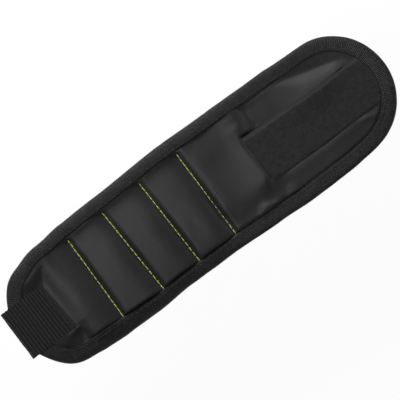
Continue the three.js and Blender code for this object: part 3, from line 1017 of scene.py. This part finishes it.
def swell_pockets(sheet, loose):
    """Cloth simulation: the pads press the cloth up between its seams. Returns how far each point moved."""
    before = points_of(sheet)
    work = duplicate(sheet, "cloth_work")
    hold = work.vertex_groups.new(name="hold")
    for index in np.flatnonzero(~loose).tolist():
        hold.add([index], 1.0, "REPLACE")
    only(work)
    cloth = work.modifiers.new("Cloth", "CLOTH")
    for key, value in SWELL_SETTINGS.items():
        setattr(cloth.settings, key, value)
    cloth.settings.effector_weights.gravity = 0
    scene = bpy.context.scene
    for step in range(SWELL_FRAMES):
        scene.frame_set(step + 1)
    bpy.ops.object.modifier_apply(modifier=cloth.name)
    moved = points_of(work) - before
    discard(work)
    scene.frame_set(1)
    return moved


def pucker(sheet):
    """Fine puckers beside the seams and slight unevenness all over."""
    x, y = marked(sheet, "lie")[:, :2].T
    inside = step_up(inset_at(x, y), CROWN_INSET - 0.5, CROWN_INSET + 2)
    rise = 0.12 * speckle(x, y, 13, 1.3) + 0.03 * speckle(x, y, 4.5, 5.7)
    for seam in EDGES[2:6]:
        away = np.abs(x - seam)
        beside = np.exp(-(away / 4.5) ** 2) * (1 - np.exp(-(away / 1.0) ** 2))
        rise += 0.2 * beside * speckle(x * 0.25, y, 5.0, seam)
    set_points(sheet, points_of(sheet) + normals_of(sheet) * (rise * inside)[:, None])


class WRISTBAND_OT_outer_cloth(bpy.types.Operator):
    """Sews the outer cloth over the padded pockets."""

    bl_idname = "wristband.outer_cloth"
    bl_label = "Outer cloth"

    def execute(self, context):
        side = [(HALF - inset) / (HALF - CLOTH_TUCK) for inset in CLOTH_INSETS]
        sheet, x, y = band_sheet("outer_cloth", CLOTH_STEP, [-v for v in side] + side[::-1], CLOTH_TUCK)
        z = FLAT_CLOTH + cloth_rise(x, y, sizes().crown / MM) + lift_at(x, y)
        set_points(sheet, strayed(x, y, z))
        inset = inset_at(x, y)
        moved = swell_pockets(sheet, (crown_at(x, y) > 0.2) & (inset > 10.5) & (x < EDGES[6] - 2))
        far = np.linalg.norm(moved, axis=1, keepdims=True)
        moved *= np.minimum(1, SWELL_LIMIT / np.maximum(far, 1e-6))
        kept = step_up(inset, 10.5, 24) * step_up(crown_along(x), 0.3, 0.9)
        moved *= (kept * step_down(x - LEFT, 134, 158))[:, None]
        moved[:, 2] = np.maximum(moved[:, 2], SINK_LIMIT)
        set_points(sheet, points_of(sheet) + moved)
        subdivide(sheet)
        pucker(sheet)
        finish = cloth_finish(colours().cloth)
        for zone, part in band_parts(sheet, "outer_cloth", "outer_cloth", sizes().cloth / MM, -1, finish):
            flat, area = flat_cut(zone, CLOTH_TUCK)
        return {"FINISHED"}


class WRISTBAND_OT_lining(bpy.types.Operator):
    """Lays the mesh lining under the band."""

    bl_idname = "wristband.lining"
    bl_label = "Lining"

    def execute(self, context):
        sheet, x, y = band_sheet("lining", LINING_STEP, np.linspace(-1, 1, LINING_ROWS + 1), LINING_INSET)
        hem = 1 - step_up(inset_at(x, y), 8.6, 11.0)
        quilt = np.zeros_like(x)
        for seam in EDGES[2:6]:
            quilt = np.maximum(quilt, np.exp(-((x - seam) / 2.2) ** 2))
        uneven = 0.45 * quilt * (1 - hem) + 0.06 * speckle(x, y, 7, 2.1) * (1 - hem)
        z = 0.05 + 0.75 * hem + uneven + lift_at(x, y)
        set_points(sheet, strayed(x, y, np.maximum(z, 0.02)))
        edit_all(sheet, bpy.ops.mesh.flip_normals)
        subdivide(sheet)
        finish = lining_finish(colours().lining)
        for zone, part in band_parts(sheet, "lining_mesh", "lining", LINING_THICK, 1, finish):
            flat, area = flat_cut(zone, LINING_INSET)
        return {"FINISHED"}


def band_rim(step):
    """Points round the band's edge from the strap end's middle, their directions inwards and way along."""
    count = math.ceil(math.pi * HALF / 2 / step)
    sides = columns_over(LEFT + HALF, RIGHT - HALF, step, CUTS)
    rim = []

    def turn(middle, start, steps):
        for k in range(steps):
            angle = start - k / count * math.pi / 2
            outward = math.cos(angle), math.sin(angle)
            rim.append((middle + HALF * outward[0], HALF * outward[1], -outward[0], -outward[1]))

    turn(LEFT + HALF, math.pi, count)
    rim.extend((x, HALF, 0, -1) for x in sides[:-1])
    turn(RIGHT - HALF, math.pi / 2, 2 * count)
    rim.extend((x, -HALF, 0, 1) for x in sides[:0:-1])
    turn(LEFT + HALF, -math.pi / 2, count + 1)
    points, inward = np.split(np.array(rim), 2, axis=1)
    return points, inward, way_along(points)


def rim_point(points, inward, way, at):
    """The place and inward direction at a distance along the rim."""
    place = np.array([np.interp(at, way, points[:, k]) for k in (0, 1)])
    facing = np.array([np.interp(at, way, inward[:, k]) for k in (0, 1)])
    return place, facing / np.linalg.norm(facing)


def face_out(ring):
    """Turns the ring's faces outwards, told by the faces on top."""
    top = max(ring.data.polygons, key=lambda face: face.center.z if abs(face.normal.z) > 0.9 else -1)
    if top.normal.z < 0:
        edit_all(ring, bpy.ops.mesh.flip_normals)


class WRISTBAND_OT_binding(bpy.types.Operator):
    """Folds the binding tape round the band's edge."""

    bl_idname = "wristband.binding"
    bl_label = "Binding"

    def execute(self, context):
        points, inward, way = band_rim(RIM_STEP)
        section = np.array(BINDING_SECTION)
        ring, column, row = grid("binding", len(points) - 1, len(section) - 1)
        inset, z = section[row].T.copy()
        inset *= sizes().binding_face / MM / BINDING_FACE
        base = points[column]
        wander = speckle(*base.T, 11, 3.1)
        ripple = speckle(*base.T, 4.0, 8.4)
        inner = step_up(inset, 4, BINDING_FACE)
        inset = inset + inner * (0.30 * wander + 0.12 * ripple)
        inset = inset + (1 - inner) * (0.10 * ripple + 0.12 * wander)
        rolled = (row < TOP_ROWS) * roll_at(*base.T, section[row, 0])
        rolled -= 0.18 * rolled * (row == 0) * (base[:, 1] > 0)
        uneven = step_up(z, 1.6, 2.9) * (0.10 * wander + 0.09 * ripple) * (1 - 0.8 * step_up(inset, 7, 8.4))
        plan = base + inward[column] * inset[:, None]
        mark_pair(ring, "lie", way[column], way_along(section)[row])
        mark_pair(ring, "spot", *base.T)
        set_points(ring, strayed(*plan.T, z + uneven + rolled + lift_at(*plan.T)))
        edit_all(ring, bpy.ops.mesh.remove_doubles, threshold=0.01 * MM)
        edit_all(ring, bpy.ops.mesh.normals_make_consistent, inside=False)
        face_out(ring)
        subdivide(ring)
        spot = marked(ring, "spot")
        zones = zone_of(face_middles(ring, spot[:, 0]))
        below = face_middles(ring, spot[:, 1]) < 0
        last = ZONES[-1]
        tip_nodes = ("binding_tip", "binding_loop_panel_left", "binding_loop_panel_right")
        cuts = [("binding_strap_end", 0, ("binding_tab",)), ("binding_tip_end", last, tip_nodes)]
        for zone in ZONES[1:-1]:
            for side in ("left", "right"):
                name = f"binding_{PANELS[zone]}_{PANELS[zone + 1]}_{side}"
                cuts.append((name, zone, (f"binding_{PANELS[zone]}_{side}",)))
        part = np.where(zones == 0, 0, np.where(zones == last, 1, 2 * zones + below))
        parts = cut_apart(ring, part, [name for name, zone, nodes in cuts], sizes().binding_tape / MM)
        finish = binding_finish(colours().binding)
        for piece, (name, zone, nodes) in zip(parts, cuts):
            start, end = zone_ends(zone)
            run = end - start
            if zone in (0, last):
                run = math.pi * HALF + 2 * (run - HALF)
            wear(piece, finish)
            bend(piece, zone)
            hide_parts(*nodes)
            flat = (BINDING_WIDTH * MM, run * MM)
        return {"FINISHED"}


def stitch_model(long, thick):
    """One stitch of thread along X: a plump strand whose ends dip into the cloth."""
    stitch = added(bpy.ops.mesh.primitive_uv_sphere_add, "stitch", segments=8, ring_count=8, radius=0.5,
                   calc_uvs=False)
    unit = points_of(stitch) * MM
    reach = np.clip(unit[:, 2] * 2, -1, 1)
    round_off = (1 - np.abs(reach) ** 4) ** 0.5
    spread = np.maximum(np.hypot(unit[:, 0], unit[:, 1]), 1e-9)
    side = unit[:, 0] / spread * (spread > 1e-6)
    rise = unit[:, 1] / spread * (spread > 1e-6)
    height = rise * round_off * thick / 2 + 0.28 * thick - 0.4 * thick * reach ** 6
    mark_pair(stitch, "lie", reach * long / 2, np.arctan2(rise, side))
    set_points(stitch, np.stack([reach * long / 2, side * round_off * thick / 2, height], 1))
    edit_all(stitch, bpy.ops.mesh.normals_make_consistent, inside=False)
    smooth(stitch, 70)
    return stitch


def sewn(name, model, places):
    """Copies of a stitch joined into one piece, each at a place, along a direction, above or below."""
    stitches = []
    for (x, y, z), direction, up in places:
        copy = duplicate(model, name)
        side = Vector((0, 0, up))
        forward = Vector((*direction, 0)).normalized()
        across = side.cross(forward)
        turn = Matrix((forward, across, side)).transposed().to_4x4()
        copy.data.transform(Matrix.Translation(Vector((x, y, z)) * MM) @ turn)
        stitches.append(copy)
    return joined(name, stitches)


class WRISTBAND_OT_seams(bpy.types.Operator):
    """Sews the four yellow seams between the pockets."""

    bl_idname = "wristband.seams"
    bl_label = "Yellow seams"

    def execute(self, context):
        finish = thread_finish("yellow_thread", colours().seam)
        pitch = sizes().stitch_pitch / MM
        model = stitch_model(sizes().stitch_length / MM, sizes().thread / MM)
        reach = HALF - CROWN_INSET - 0.3
        count = round(2 * reach / pitch)
        for number, seam in enumerate(EDGES[2:6], start=1):
            y = -reach + (np.arange(count) + 0.5) * 2 * reach / count
            x = np.full(count, seam)
            z = FLAT_CLOTH + 0.08 + cloth_rise(x, y, sizes().crown / MM) + lift_at(x, y)
            tops = strayed(x, y, z)
            ahead = strayed(x, y + 1, x * 0) - strayed(x, y, x * 0)
            bottoms = strayed(x, y + pitch / 2, 0.46 + lift_at(x, y))
            wobble = 0.06 * speckle(x, y, 2.0, 4.4)
            places = [(tops[k], (ahead[k][0] + wobble[k], ahead[k][1]), 1) for k in range(count)]
            places += [(bottoms[k], ahead[k][:2], -1) for k in range(count - 1)]
            piece = sewn(f"yellow_seam_{number}", model, places)
            wear(piece, finish)
            bend(piece, number)
            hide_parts(f"seam_thread_{number}")
        discard(model)
        return {"FINISHED"}


class WRISTBAND_OT_binding_stitches(bpy.types.Operator):
    """Sews the binding down along its inner edge, above and below."""

    bl_idname = "wristband.binding_stitches"
    bl_label = "Binding stitches"

    def execute(self, context):
        finish = thread_finish("black_thread", colours().black)
        points, inward, way = band_rim(RIM_STEP)
        pitch = sizes().edge_pitch / MM
        model = stitch_model(pitch * STITCH_SHARE, EDGE_THREAD)
        count = round(way[-1] / pitch)
        rows = {zone: [] for zone in ZONES}
        for k in range(count):
            at = (k + 0.5) * way[-1] / count
            place, facing = rim_point(points, inward, way, at)
            spot = place + facing * STITCH_INSET
            lift = float(lift_at(*spot))
            roll = float(roll_at(*place, STITCH_INSET))
            direction = (-facing[1], facing[0])
            row = rows[int(zone_of(place[0]))]
            row.append((strayed(*spot, BINDING_TOP + 0.03 + roll + lift), direction, 1))
            row.append((strayed(*spot, 0.02 + lift), direction, -1))
        for zone in ZONES:
            piece = sewn(f"binding_stitches_{PANELS[zone]}_{PANELS[zone + 1]}", model, rows[zone])
            wear(piece, finish)
            bend(piece, zone)
        discard(model)
        return {"FINISHED"}


class WRISTBAND_OT_loop_tape(bpy.types.Operator):
    """Lays the loop tape on the plain end."""

    bl_idname = "wristband.loop_tape"
    bl_label = "Loop tape"

    def execute(self, context):
        start = box_mm("loop_tape_loop_panel")[0].x
        bow = RIGHT - HALF
        radius = HALF - TAPE_INSET
        straight = columns_over(start, bow + 8, TAPE_STEP, [CUTS[5]])
        tape, column, row = grid("loop_tape", len(straight) - 1 + TAPE_ROUND, TAPE_ROWS)
        y = (2 * row / TAPE_ROWS - 1) * TAPE_HALF
        askew = y + TAPE_STRAY[1][1]
        end = bow + np.sqrt(radius * radius - askew * askew) - 0.2
        beyond = np.maximum(column - len(straight) + 1, 0) / TAPE_ROUND
        x = straight[np.minimum(column, len(straight) - 1)]
        x = x + (end - straight[-1]) * beyond
        station = x - LEFT
        side = TAPE_HALF - np.abs(y)
        ends = np.minimum(x - start, end - x)
        selvedge = np.where(y > 0, SELVEDGE, LOWER_SELVEDGE)
        pile = step_up(np.minimum(side - selvedge, ends - 0.2), 0.0, 0.8)
        uneven = 0.6 * speckle(x, y, 0.9, 6.2) + 0.4 * speckle(x, y, 2.6, 1.9)
        rise = 0.3 * np.clip(side / SELVEDGE, 0, 1) - 0.15 + (0.45 + sizes().pile / MM * uneven) * pile
        mark_pair(tape, "lie", x, y)
        ragged = 0.12 * speckle(x, y, 1.2, 9.3) * (1 - step_up(np.minimum(side, ends), 0.0, 0.6))
        height = LOOP_BASE + 0.6 + rise + tape_lift(station, y + tape_middle(station))
        set_points(tape, strayed(x, y + (ragged + tape_middle(station)), height))
        middles = face_middles(tape, marked(tape, "lie")[:, 0])
        names = ["loop_pile_loop_panel", "loop_pile_tip"]
        parts = cut_apart(tape, (middles > CUTS[5]).astype(int), names, TAPE_THICK, drop=-1)
        finish = loop_finish(colours().loop)
        marks = (start, CUTS[5], float(end.max()))
        for number, part in enumerate(parts):
            wear(part, finish)
            bend(part, 5 + number)
            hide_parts(("loop_tape_loop_panel", "loop_tape_tip")[number])
            flat = ((marks[number + 1] - marks[number]) * MM, 2 * TAPE_HALF * MM)
        return {"FINISHED"}


def strap_path():
    """The strap's middle line from its sewn end over the binding, round the fold and back: way and points."""
    front = box_mm("strap_front")
    back = box_mm("strap_back")
    half = STRAP_HALF
    low = LIFT + LOOP_BASE + half
    high = front[1].z - half
    radius = (high - half) / 2
    fold_x = front[0].x + radius + half
    fold_z = half + radius
    corner = fold_x + STRAP_CLIMB
    line = [(front[1].x - 0.2, low), (corner + CLIMB_LENGTH, low), (corner, high), (fold_x, high)]
    points = []
    for (x0, z0), (x1, z1) in zip(line, line[1:]):
        for share in np.linspace(0, 1, LINE_POINTS, endpoint=False):
            points.append((x0 + share * (x1 - x0), z0 + share * (z1 - z0)))
    for angle in np.linspace(0, math.pi, LINE_POINTS, endpoint=False):
        points.append((fold_x - radius * math.sin(angle), fold_z + radius * math.cos(angle)))
    for share in np.linspace(0, 1, LINE_POINTS):
        points.append((fold_x + share * (back[1].x - fold_x), half))
    points = np.array(points)
    way = way_along(points)
    even = np.linspace(0, way[-1], round(way[-1] / (STRAP_RIB / 6)) + 1)
    path = np.stack([np.interp(even, way, points[:, k]) for k in (0, 1)], 1)
    for _ in range(LINE_PASSES):
        path[1:-1] = (path[:-2] + path[1:-1] + path[2:]) / 3
    return even, path


class WRISTBAND_OT_strap(bpy.types.Operator):
    """Folds the ribbed elastic strap round the strap end and sews it down."""

    bl_idname = "wristband.strap"
    bl_label = "Elastic strap"

    def execute(self, context):
        way, path = strap_path()
        strap, column, row = grid("elastic_strap", len(way) - 1, STRAP_ROWS)
        along = way[column]
        share = 2 * row / STRAP_ROWS - 1
        rib = np.cos(2 * math.pi * along / STRAP_RIB)
        y = share * (TAPE_HALF + 0.4) * (1 + 0.006 * rib * np.abs(share) ** 6)
        y = y + STRAP_SHIFT * step_down(along, 20, 34)
        sewn_slant = -STRAP_SLANT * share * TAPE_HALF * step_down(along, 0, 12)
        folded = step_up(along, 24, 32) * step_down(along, 36, 44)
        x = path[column, 0] + sewn_slant + 0.22 * speckle(along * 0 + 3.0, y, 5.0, 2.2) * folded
        mark_pair(strap, "lie", along, y)
        set_points(strap, np.stack([x, y, path[column, 1]], 1))
        finish_with(strap, "SOLIDIFY", thickness=sizes().strap, offset=0, use_even_offset=True)
        edit_all(strap, bpy.ops.mesh.normals_make_consistent, inside=False)
        along, across = marked(strap, "lie")[:, :2].T
        ribs = np.cos(2 * math.pi * along / STRAP_RIB) + 0.25 * speckle(along, across, 1.2, 7.7)
        set_points(strap, points_of(strap) + normals_of(strap) * (sizes().rib / MM * ribs * 0.5)[:, None])
        smooth(strap, 60)
        wear(strap, webbing_finish(colours().webbing))
        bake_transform(strap)
        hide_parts("strap_front", "strap_back")
        sew_down(path)
        return {"FINISHED"}


def sew_down(path):
    """A zigzag row that holds the strap's end on the tab."""
    model = stitch_model(ZIGZAG_LENGTH, ZIGZAG_THREAD)
    places = []
    for k in range(ZIGZAGS):
        y = -TAPE_HALF + (k + 0.5) * 2 * TAPE_HALF / ZIGZAGS + STRAP_SHIFT
        x = path[0, 0] - ZIGZAG_INSET - STRAP_SLANT * y
        slope = ZIGZAG_SLOPE if k % 2 else -ZIGZAG_SLOPE
        places.append(((x, y, path[0, 1] + ZIGZAG_RISE), (1, slope), 1))
    row = sewn("strap_zigzag", model, places)
    discard(model)
    wear(row, bpy.data.materials["black_thread"])
    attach(row, "tab")


def hook_model():
    """One moulded hook: a stem that leans over and curls back down."""
    hook = added(bpy.ops.mesh.primitive_cube_add, "hook_model", size=1, calc_uvs=False)
    set_points(hook, (points_of(hook) * MM + np.array([0, 0, 0.5])) * np.array(HOOK_FOOT))
    edit_faces(hook, [face.normal.z > 0.9 for face in hook.data.polygons])
    for forward, up, share in HOOK_CURL:
        shift = (forward * MM, 0, up * MM)
        bpy.ops.mesh.extrude_region_move(TRANSFORM_OT_translate={"value": shift})
        bpy.ops.transform.resize(value=(share, share, share))
    bpy.ops.object.mode_set(mode="OBJECT")
    return hook


class WRISTBAND_OT_hook_tape(bpy.types.Operator):
    """Makes the hook tape inside the folded strap."""

    bl_idname = "wristband.hook_tape"
    bl_label = "Hook tape"

    def execute(self, context):
        low, high = box_mm("hook_tape")
        size = high - low
        ground = added(bpy.ops.mesh.primitive_cube_add, "hook_ground", size=1, calc_uvs=False)
        middle = np.array([(low.x + high.x) / 2, (low.y + high.y) / 2, low.z + HOOK_GROUND / 2])
        set_points(ground, points_of(ground) * MM * np.array([size.x, size.y, HOOK_GROUND]) + middle)
        finish_with(ground, "BEVEL", width=0.12 * MM, segments=2, limit_method="ANGLE")
        hook = hook_model()
        rows, columns = HOOKS
        hooks = []
        for i in range(rows):
            for j in range(columns):
                twin = duplicate(hook, "hook")
                x = low.x + HOOK_MARGIN + (i + 0.5) * (size.x - 2 * HOOK_MARGIN) / rows
                y = low.y + HOOK_MARGIN + (j + 0.25 + 0.5 * (i % 2)) * (size.y - 2 * HOOK_MARGIN) / columns
                place = Vector((x, y, low.z + HOOK_GROUND - 0.02)) * MM
                twin.data.transform(Matrix.Translation(place))
                hooks.append(twin)
        discard(hook)
        piece = joined("hook_tape_nylon", [ground, *hooks])
        smooth(piece, 35)
        wear(piece, hook_finish(colours().hook))
        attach(piece, "strap")
        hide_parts("hook_tape")
        return {"FINISHED"}


def foam_pad(name, low, high):
    """A closed crowned cushion, flat below, that follows the pocket."""
    pad = added(bpy.ops.mesh.primitive_cube_add, name, size=2, calc_uvs=False)
    edit_all(pad, bpy.ops.mesh.subdivide, number_cuts=PAD_CUTS)
    unit = points_of(pad) * MM
    flat = np.sign(unit) * np.abs(unit) ** PAD_ROUND
    x = (low.x + high.x) / 2 + flat[:, 0] * (high.x - low.x - PAD_PLAY[0]) / 2
    y = flat[:, 1] * (high.y - low.y - PAD_PLAY[1]) / 2
    top = FLAT_CLOTH - PAD_COVER + (sizes().crown / MM - 0.1) * crown_at(x, y)
    z = PAD_BASE + (unit[:, 2] + 1) / 2 * np.maximum(top - PAD_BASE, 0.2) + lift_at(x, y)
    set_points(pad, np.stack([x, y, z], 1))
    return pad


def sink_well(pad, magnet):
    """Cuts the well that a magnet sits in."""
    low, high = box_mm(magnet)
    middle = (low + high) / 2
    radius = (high.y - low.y) / 2 + WELL_ROOM
    well = added(bpy.ops.mesh.primitive_cylinder_add, "well", vertices=WELL_SIDES, radius=radius * MM,
                 depth=WELL_DEPTH * MM)
    place = Vector((middle.x, middle.y, low.z - WELL_FLOOR + WELL_DEPTH / 2)) * MM
    well.data.transform(Matrix.Translation(place))
    finish_with(pad, "BOOLEAN", operation="DIFFERENCE", object=well, solver="EXACT")
    discard(well)


class WRISTBAND_OT_pads(bpy.types.Operator):
    """Puts a foam pad with wells for the magnets into each pocket."""

    bl_idname = "wristband.pads"
    bl_label = "Foam pads"

    def execute(self, context):
        finish = foam_finish(colours().foam)
        for k in POCKETS:
            pad = foam_pad(f"foam_cushion_{PANELS[k]}", *box_mm(f"foam_pad_{PANELS[k]}"))
            for number in (1, 2, 3):
                sink_well(pad, f"magnet_{PANELS[k]}_{number}")
            smooth(pad, 45)
            wear(pad, finish)
            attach(pad, PANELS[k])
            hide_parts(f"foam_pad_{PANELS[k]}")
        return {"FINISHED"}


class WRISTBAND_OT_magnets(bpy.types.Operator):
    """Plates the magnets."""

    bl_idname = "wristband.magnets"
    bl_label = "Magnets"

    def execute(self, context):
        finish = nickel_finish(colours().nickel)
        for name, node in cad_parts.items():
            if name.startswith("magnet_"):
                wear(node, finish)
        return {"FINISHED"}


# The lamps' places and size, and the floor's height, in metres
LAMPS = {"key": (0.06, 0.81, 0.59), "top": (-0.40, 0.08, 0.92), "rim": (0.94, 0, 0.34)}
LAMP_SIZE = 0.63
FLOOR_HEIGHT = -0.082
SENSOR = 36
WHITE = (1, 1, 1, 1)


def lamp(name, place, power):
    """A round soft lamp that faces the band."""
    made = added(bpy.ops.object.light_add, name, type="AREA", location=place)
    made.data.shape = "DISK"
    made.data.size = LAMP_SIZE
    made.data.energy = power
    made.rotation_euler = (-place).to_track_quat("-Z", "Y").to_euler()


def background_rays(f):
    """1 for camera, for glossy and for transmitted rays, which see the background itself."""
    names = ("Is Camera Ray", "Is Glossy Ray", "Is Transmission Ray")
    return [f.node("ShaderNodeLightPath", out=name) for name in names]


def lay_floor():
    """A wide pale floor, low enough for the closed band, that shows white with a faint shadow."""
    floor = added(bpy.ops.mesh.primitive_plane_add, "floor", size=6, location=(0, 0, FLOOR_HEIGHT))
    f = new_finish("floor_paper")
    camera, glossy, through = background_rays(f)
    seen = (camera + glossy + through).clamp() * 0.9
    paper = f.node("ShaderNodeBsdfDiffuse", {"Color": grey(colours().floor, 1)})
    glow = f.node("ShaderNodeEmission", {"Color": WHITE, "Strength": 1.03})
    upper = f.node("ShaderNodeMixShader", {0: seen, 1: paper, 2: glow})
    clear = f.node("ShaderNodeBsdfTransparent")
    behind = f.node("ShaderNodeNewGeometry", out="Backfacing")
    wear(floor, f.end(f.node("ShaderNodeMixShader", {0: behind, 1: upper, 2: clear})))


def light_sky(strength):
    """Even light from all round, white where the background is seen, and white low down in reflections."""
    world = bpy.context.scene.world or bpy.data.worlds.new("sky")
    bpy.context.scene.world = world
    f = Finish(world)
    camera, glossy, through = background_rays(f)
    way = f.node("ShaderNodeTexCoord", out="Generated")
    height = f.node("ShaderNodeSeparateXYZ", {0: way}, 2)
    seen = (camera + (glossy + through) * (1 - height.over(0.05, 0.25))).clamp()
    glow = f.node("ShaderNodeBackground", {"Color": WHITE, "Strength": strength + seen * (1 - strength)})
    f.end(glow, "ShaderNodeOutputWorld")


class WRISTBAND_OT_stage(bpy.types.Operator):
    """Sets the pale floor, the soft lights and the camera."""

    bl_idname = "wristband.stage"
    bl_label = "Stage"

    def execute(self, context):
        stage = context.scene.wristband_stage
        lay_floor()
        light_sky(stage.sky)
        for name, place in LAMPS.items():
            lamp(f"{name}_light", Vector(place), getattr(stage, name))
        camera = added(bpy.ops.object.camera_add, "camera", location=(0, 0, stage.distance),
                       rotation=(0, 0, -stage.turn))
        camera.data.sensor_width = SENSOR
        camera.data.lens = SENSOR * stage.distance / stage.across
        camera.data.dof.use_dof = False
        context.scene.camera = camera
        context.scene.view_settings.view_transform = "Standard"
        return {"FINISHED"}


STEPS = (
    WRISTBAND_OT_outer_cloth,
    WRISTBAND_OT_lining,
    WRISTBAND_OT_binding,
    WRISTBAND_OT_seams,
    WRISTBAND_OT_binding_stitches,
    WRISTBAND_OT_loop_tape,
    WRISTBAND_OT_strap,
    WRISTBAND_OT_hook_tape,
    WRISTBAND_OT_pads,
    WRISTBAND_OT_magnets,
    WRISTBAND_OT_stage,
)


class WRISTBAND_PT_panel(bpy.types.Panel):
    """Lists the wristband's sizes, colours and pieces."""

    bl_label = "Wristband"
    bl_idname = "WRISTBAND_PT_panel"
    bl_space_type = "VIEW_3D"
    bl_region_type = "UI"
    bl_category = "Wristband"

    def draw(self, context):
        scene = context.scene
        for key in GROUPS:
            group = getattr(scene, key)
            box = self.layout.box()
            for name in group.__annotations__:
                box.prop(group, name)
        for step in STEPS:
            self.layout.operator(step.bl_idname)


GROUPS = {
    "wristband_sizes": WristbandSizes,
    "wristband_colours": WristbandColours,
    "wristband_stage": WristbandStage,
}
CLASSES = (*GROUPS.values(), *STEPS, WRISTBAND_PT_panel)


def register():
    for item in CLASSES:
        bpy.utils.register_class(item)
    for key, group in GROUPS.items():
        setattr(bpy.types.Scene, key, bpy.props.PointerProperty(type=group))


def unregister():
    for key in GROUPS:
        delattr(bpy.types.Scene, key)
    for item in reversed(CLASSES):
        bpy.utils.unregister_class(item)


def main():
    register()
    bpy.ops.wristband.outer_cloth()
    bpy.ops.wristband.lining()
    bpy.ops.wristband.binding()
    bpy.ops.wristband.seams()
    bpy.ops.wristband.binding_stitches()
    bpy.ops.wristband.loop_tape()
    bpy.ops.wristband.strap()
    bpy.ops.wristband.hook_tape()
    bpy.ops.wristband.pads()
    bpy.ops.wristband.magnets()
    bpy.ops.wristband.stage()


if __name__ == "__main__":
    main()
